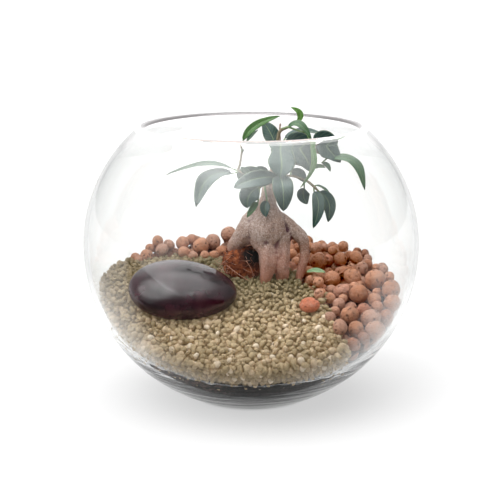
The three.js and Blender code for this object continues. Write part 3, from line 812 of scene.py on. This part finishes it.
def clear_glass():
    """Blown glass: clear and even, with flow lines in its surface where it runs thick towards the base,
    reaching higher at the left and right. There the lines are also painted grey into its colour, painted shade
    that stands for the grey arcs of the thick glass.
    """
    made = glass("clear_glass")
    lines = made.noise(made.vector("MULTIPLY", made.coordinates, (8.0, 8.0, 230.0)), 1.0, 2.0)
    sideways = made.times(made.times(made.axis("X"), made.axis("X")), 3.0)
    thick = made.spread(made.maths("SUBTRACT", made.axis("Z"), sideways), 0.030, 0.018)
    # Painted shade: grey streaks in the glass's colour along the flow lines.
    grey = made.times(made.spread(lines, 0.42, 0.58), thick)
    return made.wears(Base_Color=made.mix(grey, CLEAR, (0.22, 0.23, 0.24)),
                      Roughness=made.times(made.spread(made.axis("Z"), 0.018, 0.008), 0.10),
                      Normal=made.relief(made.times(lines, thick), 0.0015))


def rim_glass():
    """The fire-polished rim, which glows a little: a painted glow, emission that lifts its dark lines to a
    faint grey.
    """
    return glass("rim_glass").wears(Emission_Color=(0.98, 0.93, 0.94, 1.0), Emission_Strength=0.30)


def gravel():
    """Olive-beige stone with a few nearly white grains. Towards the back, where the plant stands, it is
    darkened by painted shade, less so at the far left, and it glows faintly in its own colour, a painted glow
    that stands for light through the grains.
    """
    made = Finish("gravel", Roughness=0.6, Emission_Strength=0.10)
    body = made.ramp(made.tone(), (0.0, (0.14, 0.10, 0.05)), (0.06, (0.29, 0.205, 0.105)),
                     (0.3, (0.42, 0.31, 0.175)), (0.6, (0.54, 0.40, 0.24)), (0.86, (0.68, 0.51, 0.35)),
                     (0.95, (0.86, 0.72, 0.56)))
    cloudy = made.mix(made.mottle(420.0, 0.3, 0.7), body, (0.24, 0.20, 0.11), 0.3)
    # Painted shade: darker towards the back and the plant, by a share that is smaller at the far left.
    painted_shade_to_back = made.spread(made.axis("Y"), -0.042, 0.008)
    painted_shade_share = made.spread(made.axis("X"), -0.08, -0.03, 0.42, 0.82)
    colour_with_painted_shade = made.mix(painted_shade_to_back, cloudy, (0.12, 0.098, 0.038), painted_shade_share)
    # Painted light: the colour with its painted shade also glows, as emission.
    return made.wears(Base_Color=colour_with_painted_shade, Emission_Color=colour_with_painted_shade,
                      Normal=made.relief(made.rough(900.0, 2.0), 0.0002))


def fired_clay():
    """Red to grey-brown fired clay, dusty in patches, with pits that are painted nearly black as painted
    shade.
    """
    made = Finish("fired_clay", Roughness=0.9)
    body = made.ramp(made.tone(), (0.0, (0.05, 0.02, 0.015)), (0.12, (0.34, 0.14, 0.08)),
                     (0.4, (0.54, 0.25, 0.14)), (0.7, (0.58, 0.29, 0.18)), (0.88, (0.50, 0.28, 0.20)),
                     (0.97, (0.60, 0.19, 0.10)))
    dusted = made.mix(made.mottle(260.0, 0.45, 0.75), body, (0.46, 0.31, 0.25), 0.45)
    pits = made.times(made.group(PITS, Scale=260.0, Size=0.36, Warp=0.003), made.mottle(150.0, 0.40, 0.52))
    rough = made.maths("SUBTRACT", made.rough(700.0, 5.0), pits)
    # Painted shade: the pits are painted nearly black.
    return made.wears(Base_Color=made.mix(pits, dusted, (0.05, 0.02, 0.015)),
                      Normal=made.relief(rough, 0.0011))


def stone():
    """Nearly black polished stone with dark red veins."""
    made = Finish("river_stone", Roughness=0.12, IOR=1.58)
    veins = made.ramp(made.mottle(45.0, 0.35, 0.7), (0.0, (0.012, 0.006, 0.008)),
                      (0.6, (0.035, 0.010, 0.016)), (1.0, (0.055, 0.02, 0.026)))
    return made.wears(Base_Color=veins, Roughness=made.spread(made.rough(60.0, 3.0), 0.3, 0.7, 0.07, 0.2),
                      Normal=made.relief(made.rough(35.0, 2.0), 0.0006))


def bark():
    """Grey-tan bark, freckled and grained, with painted purple shade in its hollows, and reddish towards the
    root tips.
    """
    made = Finish("fig_bark", Roughness=0.7)
    body = made.mix(made.mottle(70.0, 0.35, 0.68), (0.36, 0.235, 0.18), (0.52, 0.40, 0.35))
    freckled = made.mix(made.mottle(620.0, 0.42, 0.64), body, (0.19, 0.10, 0.075), 0.68)
    grained = made.mix(made.mottle(1000.0, 0.52, 0.66), freckled, (0.72, 0.62, 0.56), 0.7)
    # Painted shade: darker purple where the trunk's surface lies deep in a hollow.
    shaded = made.mix(made.spread(made.tone(), 0.02, 0.55), grained, (0.080, 0.028, 0.045), 0.92)
    uneven = made.maths("MULTIPLY_ADD", made.rough(90.0, 3.0), 0.016, made.axis("Z"))
    tipped = made.mix(made.spread(uneven, 0.128, 0.096), shaded, (0.50, 0.19, 0.12), 0.72)
    return made.wears(Base_Color=tipped, Normal=made.relief(made.rough(700.0, 5.0), 0.0005))


def peat():
    """Red-brown fibres, painted black as a shadow in the hollow beside the trunk."""
    made = Finish("peat", Roughness=0.95)
    fibres = made.ramp(made.mottle(300.0, 0.35, 0.75), (0.0, (0.030, 0.008, 0.004)),
                       (0.35, (0.19, 0.045, 0.014)), (0.7, (0.38, 0.105, 0.032)), (1.0, (0.48, 0.20, 0.08)))
    off = made.vector("DISTANCE", made.coordinates, PLUG_SHADOW_CENTRE).outputs["Value"]
    # Painted shadow: the peat turns black near the gap beside the trunk.
    hollow = made.mix(made.spread(off, 0.0115, 0.0060), fibres, (0.002, 0.001, 0.001))
    return made.wears(Base_Color=hollow, Normal=made.relief(made.rough(900.0, 5.0), 0.001))


def straw():
    made = Finish("root_straw", Roughness=0.5)
    return made.wears(Base_Color=made.ramp(made.tone(), (0.0, (0.10, 0.02, 0.01)), (0.5, (0.36, 0.12, 0.05)),
                                           (1.0, (0.60, 0.33, 0.24))))


def soil():
    """Black soil with crumbs that are browner at the left."""
    made = Finish("potting_soil", Roughness=0.9)
    brown = made.mix(made.spread(made.axis("X"), -0.01, -0.03), (0.05, 0.035, 0.03), (0.20, 0.11, 0.08))
    return made.wears(Base_Color=made.mix(made.mottle(350.0, 0.45, 0.75), (0.010, 0.008, 0.007), brown),
                      Normal=made.relief(made.rough(600.0, 4.0), 0.0015))


def leaf_skin(name, dark, light, young):
    """Ficus leaf: a pale midrib, faint side veins, a thin yellowish margin and a waxy gloss."""
    made = Finish(name, Roughness=0.38)
    place_on = made.node("ShaderNodeSeparateXYZ", {0: made.node("ShaderNodeUVMap", uv_map="leaf")})
    off_rib = made.maths("ABSOLUTE", made.maths("SUBTRACT", place_on.outputs["X"], 0.5))
    swept = made.maths("SUBTRACT", place_on.outputs["Y"], made.times(off_rib, 0.45))
    saw = made.maths("FRACT", made.times(swept, 9.0))
    off_vein = made.maths("ABSOLUTE", made.maths("SUBTRACT", saw, 0.5))
    veins = made.times(made.spread(off_vein, 0.10, 0.02), 0.5)
    lines = made.maths("MAXIMUM", made.spread(off_rib, 0.035, 0.012), veins)
    body = made.mix(made.mottle(90.0, 0.3, 0.7), dark, light)
    fresh = made.mix(made.tone(), body, young)
    lined = made.mix(lines, fresh, (0.32, 0.42, 0.20), 0.45)
    edged = made.mix(made.spread(off_rib, 0.47, 0.5), lined, (0.38, 0.42, 0.16), 0.5)
    return made.wears(Base_Color=edged, Normal=made.relief(made.maths("SUBTRACT", 1.0, lines), 0.00015))


def twig_skin():
    made = Finish("fig_twig", Roughness=0.6)
    return made.wears(Base_Color=made.mix(made.mottle(500.0), (0.16, 0.12, 0.07), (0.30, 0.26, 0.16)),
                      Normal=made.relief(made.rough(1200.0, 3.0), 0.0002))


GRAVEL = gravel()
CLAY = fired_clay()
STRAW = straw()

# ---- bowl and soil ----


def glass_bowl():
    """The blown bowl: out along its base and wall, round the bead of the rim and back down the inside."""
    start_angle = math.acos((MIDDLE_Z - WALL_START_Z) / HALF_BELOW)
    profile = [Vector((radius, 0)) for radius in (0, 0.02, BASE_RADIUS)]
    profile += [Vector((BASE_RADIUS + out, up)) for out, up in BASE_EDGE]
    wall_steps, bead_steps = 64, 10
    for i in range(wall_steps + 1):
        profile.append(wall_point(start_angle + (RIM_ANGLE - start_angle) * i / wall_steps, 0))
    bead = wall_point(RIM_ANGLE, RIM_BEAD_RADIUS)
    spoke = wall_point(RIM_ANGLE, 0) - bead
    start = math.atan2(spoke.y, spoke.x)
    for i in range(1, bead_steps):
        angle = start + math.pi * i / bead_steps
        profile.append(bead + RIM_BEAD_RADIUS * Vector((math.cos(angle), math.sin(angle))))
    profile += reversed(inside_profile(wall_steps))
    shape = Shape()
    shape.add(*turned(160, lambda angle: profile))
    # Faces above this height take the rim glass, with its painted glow.
    rim_z = bead.y - 0.8 * RIM_BEAD_RADIUS
    shape.finish = [int(min(shape.points[k][2] for k in face) > rim_z) for face in shape.faces]
    return shape.piece("glass_bowl_blown")


def soil_wedge():
    """The soil fills the bottom of the bowl. Against the glass it stands a little higher and has dried away
    below an uneven line."""
    rows, rings, sides = 60, 24, 300
    lip_width = 0.004

    def crumbs(point):
        """How deep the gaps between the crumbs are."""
        rough = noise.noise(260 * point) + 0.6 * noise.noise(620 * point)
        return 0.0012 * max(0.0, min(rough - 0.1, 1.0))

    def profile(angle):
        cos, sin = math.cos(angle), math.sin(angle)
        radius = meets_glass(angle, soil_z, GAP, 0.09)
        lip = SOIL_LIP * (1 + noise.noise((12 * cos, 12 * sin, 0))) + left_rise(radius * cos)
        top = soil_z(radius * cos, radius * sin) + lip
        bottom = INSIDE[0, 1] + GAP
        points = [(0, bottom)]
        for i in range(1, rows + 1):
            z = bottom + (top - bottom) * (i / rows) ** 2
            reach = inside_radius(z)
            dry = z < DRY_Z + DRY_RISE * (reach * cos) ** 2
            points.append((reach + (-GAP if dry else WET_CONTACT), z))
        for i in range(rings - 1, -1, -1):
            reach = radius * i / rings
            spot = Vector((reach * cos, reach * sin, soil_z(reach * cos, reach * sin)))
            spot.z += lip * smoothstep(reach, radius - lip_width, radius)
            points.append((reach, spot.z - crumbs(spot) * (i > 0)))
        return points

    return one_piece("potting_soil_packed", *turned(sides, profile))


dress(glass_bowl(), [clear_glass(), rim_glass()], ["glass_bowl"])
dress(soil_wedge(), [soil()], ["potting_soil"])

# ---- gravel and clay ----


def filling(name, finish, top_z, inset, tone, sides, rings, rows):
    """A closed body that fills the bowl from the soil up to a height, an inset away from the glass."""

    def bottom_z(x, y):
        return soil_z(x, y) + GAP

    def profile(angle):
        cos, sin = math.cos(angle), math.sin(angle)

        def outwards(reach, height):
            steps = [reach * i / rings for i in range(rings + 1)]
            return [(radius, height(radius * cos, radius * sin)) for radius in steps]

        points = outwards(meets_glass(angle, bottom_z, inset), bottom_z)
        high = meets_glass(angle, top_z, inset)
        bottom, top = points[-1][1], top_z(high * cos, high * sin)
        for i in range(1, rows):
            z = bottom + (top - bottom) * i / rows
            points.append((inside_radius(z) - inset, z))
        return points + outwards(high, top_z)[::-1]

    piece = one_piece(name, *turned(sides, profile), tone=tone)
    piece.data.materials.append(finish)
    return piece


def keep_side(piece, clay):
    """Cuts a filling along the edge between gravel and clay, and keeps the clay's side or the gravel's."""
    reach = 0.2
    outline = [*CLAY_EDGE, (reach, -reach / 2), (reach, reach), (-reach, reach), (-reach, CLAY_EDGE[0][1])]
    count = len(outline)
    walls = [[i, (i + 1) % count, count + (i + 1) % count, count + i] for i in range(count)]
    cutter = one_piece("cutter", [Vector((x, y, z)) for z in (0, reach) for x, y in outline],
                       [list(range(count)), list(range(count, 2 * count)), *walls])
    cut = piece.modifiers.new("cut", "BOOLEAN")
    cut.operation = "INTERSECT" if clay else "DIFFERENCE"
    cut.solver = "EXACT"
    cut.object = cutter
    piece.data = evaluated(piece)
    bpy.data.objects.remove(cutter)


PEBBLE_TREE = pebble_tree("pebbles_on_points", 1)
BALL_TREE = pebble_tree("balls_on_points", 2)
GRAIN_SHAPE = {"Roundness": 0.2, "Lumps": 0.9, "Narrowest": (0.66, 0.70, 0.80), "Widest": (1.0, 1.10, 1.35),
               "Seed": 11, "Finish": GRAVEL}
BALL_SHAPE = {"Roundness": 0.92, "Lumps": 0.3, "Narrowest": (0.9, 0.9, 0.84), "Widest": (1.07, 1.05, 1.0),
              "Finish": CLAY}


def grain_tone(draw, y):
    """Most grains are olive-beige. Towards the front glass they are paler, and some are nearly white."""
    front = smoothstep(-y, 0.01, 0.09)
    if draw.random() < WHITE_GRAINS + MORE_WHITE_GRAINS * front:
        return draw.uniform(0.9, 1.0)
    return 0.06 + 0.1 * front + 0.66 * draw.random()


def gravel_top_spots(draw):
    """Grains in loose rows over the gravel's part of the ground, three layers deep."""
    spots = []
    rows = math.ceil(2 * BOWL_RADIUS / GRAIN_ROW)
    columns = math.ceil(2 * BOWL_RADIUS / GRAIN_PITCH)
    for layer, row, column in itertools.product(range(3), range(rows), range(columns)):
        step = column + ((row + layer) % 2) / 2 + draw.uniform(-JITTER, JITTER)
        x = step * GRAIN_PITCH - BOWL_RADIUS
        y = (row + layer / 3 + draw.uniform(-JITTER, JITTER)) * GRAIN_ROW - BOWL_RADIUS
        radius = GRAIN_RADIUS[0] + (GRAIN_RADIUS[1] - GRAIN_RADIUS[0]) * draw.random() ** 1.3
        radius *= 1 + 0.15 * smoothstep(-y, 0.02, 0.09)
        z = ground_z(x, y) - 0.0004 - GRAIN_LAYER * layer + draw.uniform(-0.0006, 0.0007)
        stray = draw.gauss(0, 0.002)
        tone = grain_tone(draw, y)
        point = Vector((x, y, z))
        if math.hypot(x, y) > inside_radius(z) - 0.9 * radius or clay_inset(x, y) > stray:
            continue
        if not in_egg(point, STONE_CENTRE, STONE_HALF, -0.0005) and not in_plant(point, -0.001):
            spots.append((point, radius, tone))
    return spots


def gravel_wall_spots(draw):
    """Grains that lie against the glass, from the soil's uneven top up to the ground."""
    spots = []
    low, high = WALL_GRAINS
    rows = math.ceil((high - low) * BOWL_RADIUS / GRAIN_ROW)
    for row in range(rows):
        turn = low + (high - low) * row / rows
        around = math.ceil(math.tau * BOWL_RADIUS * math.sin(turn) / GRAIN_PITCH)
        for column in range(around):
            angle = math.tau * (column + row % 2 / 2 + draw.uniform(-JITTER, JITTER)) / around
            radius = draw.uniform(*GRAIN_RADIUS)
            bend = turn + draw.uniform(-JITTER, JITTER) * GRAIN_ROW / BOWL_RADIUS
            reach, z = wall_point(bend, wall_thickness(bend) + radius * draw.uniform(0.5, 0.9))
            cos, sin = math.cos(angle), math.sin(angle)
            x, y = reach * cos, reach * sin
            wave = noise.noise((4 * cos, 4 * sin, 6)) + 0.5 * noise.noise((19 * cos, 19 * sin, 0))
            edge = soil_z(x, y) - 0.001 + 0.008 * wave + left_rise(x)
            tone = grain_tone(draw, y)
            if edge + draw.uniform(-0.0012, 0.0012) < z < ground_z(x, y) + 0.0004 and clay_inset(x, y) < 0:
                spots.append((Vector((x, y, z)), radius, tone))
    return spots


def gravel_bed():
    draw = random.Random(2417)
    grains = grown(cloud("gravel_bed_grains", gravel_top_spots(draw)), PEBBLE_TREE, GRAIN_SHAPE)
    press_to_glass(grains.data)
    dress(grains, [GRAVEL], ["gravel_bed"])
    against = grown(cloud("gravel_bed_wall_grains", gravel_wall_spots(draw)), PEBBLE_TREE, GRAIN_SHAPE)
    # The core is coloured darker than most grains: painted shade for the gaps between them.
    core = filling("gravel_core", GRAVEL, lambda x, y: ground_z(x, y) - GRAVEL_CORE_DROP, GRAVEL_CORE_INSET,
                   tone=0.12, sides=300, rings=28, rows=24)
    keep_side(core, clay=False)
    press_to_glass(against.data, -2 * WET_CONTACT)
    join(against, core)
    dress(against, [GRAVEL], ["gravel_bed"])


def ball_tone(draw):
    return draw.choice((0.2, 0.35, 0.45, 0.55, 0.65, 0.75, 0.85, 0.9)) + draw.uniform(-0.05, 0.03)


def clay_spots():
    """The balls that show, then others at four depths, small ones between them, and those on the glass."""
    draw = random.Random(77)
    heap = Heap(cell=0.019, overlap=0.1)
    for x, y, z, radius in LOOSE_CLAY:
        heap.add(Vector((x, y, z)), radius, 0.0)
    for x, y, z, radius in CLAY_SEEN:
        heap.add(Vector((x, y, z)), radius, ball_tone(draw))
    smallest, largest = BALL_RADIUS
    depths = [(drop, largest) for drop in (0.001, 0.005, 0.009, 0.017)] + [(0.002, FILLER_RADIUS)]
    for drop, upper in depths:
        for _ in range(BALL_TRIES):
            x, y = draw.uniform(-BOWL_RADIUS, BOWL_RADIUS), draw.uniform(-BOWL_RADIUS, BOWL_RADIUS)
            radius = draw.uniform(smallest, upper)
            z = clay_z(x, y) - 0.5 * radius + draw.uniform(-0.002, 0.001) - drop
            if math.hypot(x, y) > inside_radius(z) - GAP - radius or clay_inset(x, y) < 0.6 * radius:
                continue
            point = Vector((x, y, z))
            if not in_plant(point, 0.6 * radius):
                heap.offer(point, radius, ball_tone(draw))
    for _ in range(WALL_BALL_TRIES):
        angle = draw.uniform(0, math.tau)
        z = draw.uniform(0.04, 0.1)
        radius = draw.uniform(*WALL_BALL_RADIUS)
        reach = inside_radius(z) - GAP - radius
        x, y = reach * math.cos(angle), reach * math.sin(angle)
        in_layer = soil_z(x, y) + 0.6 * radius <= z <= clay_z(x, y) - 0.5 * radius
        if in_layer and clay_inset(x, y) >= 0.5 * radius:
            heap.offer(Vector((x, y, z)), radius, ball_tone(draw))
    return heap.spots[len(LOOSE_CLAY):]


def clay_bank():
    balls = grown(cloud("clay_pebble_bank_balls", clay_spots()), BALL_TREE, {**BALL_SHAPE, "Seed": 5})
    # The core's near-black colour is painted shade in the gaps between the balls.
    core = filling("clay_core", CLAY, lambda x, y: clay_z(x, y) - CLAY_CORE_DROP, CLAY_CORE_INSET,
                   tone=0.02, sides=120, rings=20, rows=14)
    keep_side(core, clay=True)
    join(balls, core)
    press_to_glass(balls.data)
    dress(balls, [CLAY], ["clay_pebble_bank"])


def loose_clay():
    """Single balls on the gravel. The first one is bright red, broad and flat."""
    for k, (x, y, z, radius) in enumerate(LOOSE_CLAY):
        tone = 0.93 - 0.06 * k if k else 0.97
        pebble = cloud(f"clay_pebble_loose_{k + 1}_fired", [((x, y, z), radius, tone)])
        grown(pebble, BALL_TREE, {**BALL_SHAPE, "Seed": 20 + k})
        if k == 0:
            for vertex in pebble.data.vertices:
                vertex.co.x += 0.12 * (vertex.co.x - x)
                vertex.co.z -= 0.22 * (vertex.co.z - z)
        dress(pebble, [CLAY], [f"clay_pebble_loose_{k + 1}"])


gravel_bed()
clay_bank()
loose_clay()

# ---- stone, trunk and peat ----


def river_stone():
    """An egg-shaped pebble, blunt at its left end, that lies on the slope."""
    cos_tilt, sin_tilt = math.cos(STONE_TILT), math.sin(STONE_TILT)
    cos_lean, sin_lean = math.cos(STONE_LEAN), math.sin(STONE_LEAN)

    def spot(polar, angle):
        x = -math.cos(polar)
        taper = (1 - 0.09 * x - 0.03 * x * x) * math.sin(polar)
        px = x * STONE_HALF[0]
        py = taper * math.cos(angle) * STONE_HALF[1]
        pz = taper * math.sin(angle) * STONE_HALF[2]
        py, pz = py * cos_tilt - pz * sin_tilt, py * sin_tilt + pz * cos_tilt
        px, pz = px * cos_lean + pz * sin_lean, -px * sin_lean + pz * cos_lean
        return Vector((px, py, pz)) + Vector(STONE_CENTRE)

    return one_piece("river_stone_polished", *lofted_pebble(steps=40, sides=64, near_end=0.02, spot=spot))


def roughen(mesh, layers):
    """Moves each point along its normal by a sum of noise layers, each of width, height and depth."""
    points, normals = read(mesh.vertices, "co"), read(mesh.vertices, "normal")
    shift = np.zeros(len(points), dtype=np.float32)
    for width, height, depth in layers:
        spots = points / np.array((width, width, height), dtype=np.float32)
        shift += depth * np.array([noise.noise(Vector(spot)) for spot in spots], dtype=np.float32)
    move_to(mesh, points + normals * shift[:, None])


def hollows(mesh, rounds):
    """How deep each point lies below its surroundings, from a copy of the surface smoothed many times."""
    points, normals = read(mesh.vertices, "co"), read(mesh.vertices, "normal")
    starts, ends = read(mesh.edges, "vertices", 2, np.int32).T
    degree = np.bincount(np.concatenate((starts, ends)), minlength=len(points))[:, None]
    smooth = points.copy()
    for _ in range(rounds):
        total = np.zeros_like(smooth)
        np.add.at(total, starts, smooth[ends])
        np.add.at(total, ends, smooth[starts])
        smooth = 0.5 * smooth + 0.5 * total / degree
    return ((smooth - points) * normals).sum(1)


def fig_trunk():
    """The limbs melted into one mass, with wrinkled bark."""
    shape = Shape()
    for knots in [*CAUDEX, WOODY_STEM]:
        shape.add(*tube(knots, steps=6, sides=16))
    trunk = shape.piece("fig_trunk_grown")
    remesh = trunk.modifiers.new("remesh", "REMESH")
    remesh.mode = "VOXEL"
    remesh.voxel_size = TRUNK_VOXEL
    smooth = trunk.modifiers.new("smooth", "SMOOTH")
    smooth.iterations = 6
    smooth.factor = 0.5
    trunk.data = evaluated(trunk)
    roughen(trunk.data, [(0.009, 0.012, 0.0012), (0.0035, 0.0120, 0.0007), (0.0028, 0.0028, 0.0003),
                         (0.0012, 0.0012, 0.00012)])
    # The tone holds how deep each point lies in a hollow, for the bark's painted shade.
    store(trunk.data, "tone", np.clip(hollows(trunk.data, rounds=40) / DEEP_HOLLOW, 0, 1))
    trunk.data.shade_smooth()
    return trunk


def peat_plug():
    """A lumpy mass of peat, nearer to a block than to a ball."""

    def spot(polar, angle):
        way = Vector((math.sin(polar) * math.cos(angle), math.sin(polar) * math.sin(angle), -math.cos(polar)))
        box = 1 / max(abs(way.x), abs(way.y), abs(way.z)) ** 0.35
        lump = 1 + 0.05 * math.sin(9 * way.x + 4 * way.z) * math.sin(8 * way.y) + 0.06 * noise.noise(6 * way)
        return Vector(PLUG_CENTRE) + Vector([way[k] * PLUG_HALF[k] * box * lump for k in range(3)])

    plug = one_piece("peat_plug_fibrous", *lofted_pebble(steps=40, sides=64, near_end=0.1, spot=spot))
    roughen(plug.data, [(0.0035, 0.0035, 0.0013), (0.0014, 0.0014, 0.0008)])
    return plug


def dead_roots():
    """Fine dead roots that stand off the plug and lie between the legs, and a few longer straws."""
    draw = random.Random(31)
    spots, ways = [], []
    for _ in range(150):
        way = Vector((draw.uniform(-1, 1), draw.uniform(-1, 0.6), draw.uniform(-0.7, 0.9))).normalized()
        root = Vector(PLUG_CENTRE) + Vector([0.93 * way[k] * PLUG_HALF[k] for k in range(3)])
        spots.append((root, draw.uniform(0.004, 0.010), draw.uniform(0.1, 1.0)))
        across = Vector((draw.uniform(-1, 1), draw.uniform(-1, 0), draw.uniform(-1, 0.5)))
        ways.append((way + 1.3 * across).normalized())
    roots = cloud("dead_roots", spots)
    store(roots.data, "way", ways, "FLOAT_VECTOR", "vector")
    grown(roots, hair_tree(), {"Thickness": 0.016, "Bend": 0.5, "Seed": 4, "Finish": STRAW})
    shape = Shape()
    for knots in STRAWS:
        shape.add(*tube(knots, steps=5, sides=5), tone=0.75)
    straws = shape.piece("straws")
    straws.data.materials.append(STRAW)
    join(roots, straws)
    return roots


dress(river_stone(), [stone()], ["river_stone"])
dress(fig_trunk(), [bark()], ["fig_trunk"])
dress(peat_plug(), [peat()], ["peat_plug"])
dress(dead_roots(), [STRAW])

# ---- leafy shoots ----


def add_blade(shape, plan, draw):
    """A leaf's blade, bent along its rib, folded and wavy, with a groove over the rib."""
    base, centre, tip = (Vector(point) for point in plan["rib"])
    handle = 2 * centre - (base + tip) / 2
    towards = Vector(plan["face"]).normalized()
    rows, columns = 18, 5
    phase = draw.uniform(0, math.tau)
    rings, across = [], []
    for i in range(rows + 1):
        t = i / rows
        rib = (1 - t) ** 2 * base + 2 * t * (1 - t) * handle + t * t * tip
        tangent = ((1 - t) * (handle - base) + t * (tip - handle)).normalized()
        side = tangent.cross(towards).normalized()
        normal = side.cross(tangent)
        half = max(0.0002, plan["width"] / 2 * math.sin(math.pi * t ** 0.85) ** 0.65)
        upper, lower = [], []
        for j in range(-columns, columns + 1):
            s = j / columns
            fold = 0.22 * half * abs(s) ** 1.3
            wave = 0.10 * half * s * s * math.sin(phase + 9 * t + (2 if s > 0 else 0))
            groove = 0.00018 * math.exp(-(s / 0.12) ** 2)
            thick = BLADE_THICKNESS * (1 - 0.55 * s * s) / 2
            middle = rib + side * (s * half) + normal * (fold + wave - groove)
            upper.append((middle + normal * thick, (0.5 + 0.5 * s, t)))
            lower.append((middle - normal * (thick + groove), (0.5 + 0.5 * s, t)))
        ring = upper + lower[::-1]
        rings.append([point for point, _ in ring])
        across += [uv for _, uv in ring]
    shape.add(*loft(rings), tone=plan["youth"], across=across + [(0.5, 0.0), (0.5, 1.0)])


def leafy_shoot(name, twigs, leaves, seed):
    draw = random.Random(seed)
    shape = Shape()
    for knots in twigs:
        shape.add(*tube(knots, steps=6, sides=10), finish=1)
    for plan in leaves:
        petiole = [(*plan["start"], 0.0008), (*plan["rib"][0], 0.0006)]
        shape.add(*tube(petiole, steps=3, sides=8), tone=0.3)
        add_blade(shape, plan, draw)
    return shape.piece(name)


def fallen_leaf():
    """One leaf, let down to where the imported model's leaf lies."""
    shape = Shape()
    add_blade(shape, FALLEN_LEAF, random.Random(9))
    let_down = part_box("fallen_leaf")[0].z - min(z for _, _, z in shape.points)
    shape.points = [(x, y, z + let_down) for x, y, z in shape.points]
    return shape.piece("fallen_leaf_fresh")


LEAF = leaf_skin("fig_leaf", (0.014, 0.042, 0.036), (0.032, 0.078, 0.068), (0.15, 0.36, 0.05))
FALLEN = leaf_skin("fallen_leaf", (0.12, 0.23, 0.10), (0.22, 0.35, 0.18), (0.27, 0.41, 0.22))
TWIG = twig_skin()

for k, (name, (twigs, leaves)) in enumerate(SHOOTS.items()):
    dress(leafy_shoot(name + "_grown", twigs, leaves, 100 + k), [LEAF, TWIG], [name])
dress(fallen_leaf(), [FALLEN], ["fallen_leaf"])

# ---- studio ----

# The room's lights and dark parts: the way to each, the cosines where it starts and is full, and its strength.
ROOM = [
    ((0.05, -0.1, 1), 0.75, 0.93, 2.0),  # a lamp overhead
    ((-0.557, -0.32, 0.766), 0.78, 0.92, 2.6),  # a big lamp at the left
    ((0.25, -0.85, -0.5), 0.25, 0.55, -0.87),  # darkness round the camera
    ((1, -0.3, 0.2), 0.5, 0.9, -0.3),  # less light at the right
    ((0, 1, 1), 0.75, 0.95, 0.9),  # a bright backdrop
    ((-0.85, 0.5, 0.0), 0.60, 1.0, -0.38),  # less light beyond the bowl's edges
    ((0.85, 0.5, 0.0), 0.60, 1.0, -0.38),
]
ROOM_STRENGTH = 0.9


def light_table():
    """A glowing white floor, with no glow under the bowl's foot: a painted contact shadow. Mirrored in things
    it is dark in front of the bowl and darker further off."""
    reach, front = 8.0, -0.27
    foot_edge, foot = 0.047, 0.036
    near, far_off = 0.20, 0.40
    corners = [(-reach, front, 0), (reach, front, 0), (reach, reach, 0), (-reach, reach, 0)]
    floor = one_piece("floor", corners, [[0, 1, 2, 3]])
    table = Finish("light_table", Roughness=0.9, Specular_IOR_Level=0.0, Emission_Strength=0.55)
    mirrored = table.maths("GREATER_THAN", table.node("ShaderNodeLightPath").outputs["Glossy Depth"], 0.5)
    unlit = table.times(mirrored, table.spread(table.axis("Y"), -0.05, -0.10))
    off = table.vector("LENGTH", table.coordinates).outputs["Value"]
    far = table.times(table.times(mirrored, table.spread(off, near, far_off)), 0.6)
    # Painted shadow: the glow is off under the bowl's foot. The same mask also darkens the floor as mirrored
    # in front and further off.
    dark = table.maths("MAXIMUM", table.maths("MAXIMUM", unlit, table.spread(off, foot_edge, foot)), far)
    table.wears(Base_Color=table.mix(unlit, (0.32, 0.32, 0.32), (0.01, 0.01, 0.01)),
                Emission_Color=table.mix(dark, (1, 1, 1), (0, 0, 0)))
    floor.data.materials.append(table.material)


def white_room():
    """A plain white backdrop for the camera. What things mirror and what lights them is the room above."""
    world = bpy.data.worlds.new("studio")
    bpy.context.scene.world = world
    world.use_nodes = True
    world.node_tree.nodes.clear()
    tree = Tree(world.node_tree)
    way = tree.node("ShaderNodeTexCoord").outputs["Generated"]
    strength = ROOM_STRENGTH
    for towards, low, high, share in ROOM:
        facing = tree.vector("DOT_PRODUCT", way, Vector(towards).normalized()).outputs["Value"]
        lobe = tree.spread(facing, low, high, interpolation_type="SMOOTHSTEP")
        strength = tree.maths("MULTIPLY_ADD", lobe, share, strength)
    path = tree.node("ShaderNodeLightPath").outputs
    hit = tree.maths("GREATER_THAN", tree.maths("ADD", path["Glossy Depth"], path["Diffuse Depth"]), 0.5)
    seen = tree.node("ShaderNodeMix", {"Factor": hit, 2: 1.0, 3: strength}, data_type="FLOAT")
    light = tree.node("ShaderNodeBackground", {"Color": (1, 1, 1, 1), "Strength": seen})
    tree.node("ShaderNodeOutputWorld", {"Surface": light})


light_table()
white_room()
cycles = bpy.context.scene.cycles
cycles.max_bounces = 20
cycles.transmission_bounces = 20
cycles.glossy_bounces = 12

camera_data = bpy.data.cameras.new("camera")
camera_data.lens = CAMERA_LENS
camera_data.sensor_width = 36.0
camera_data.shift_x = CAMERA_SHIFT
camera = place("camera", camera_data)
camera.location = (0, -CAMERA_DISTANCE, CAMERA_HEIGHT)
camera.rotation_euler = (math.pi / 2 - CAMERA_PITCH, 0, 0)
bpy.context.scene.camera = camera
bpy.context.scene.view_settings.view_transform = "Standard"
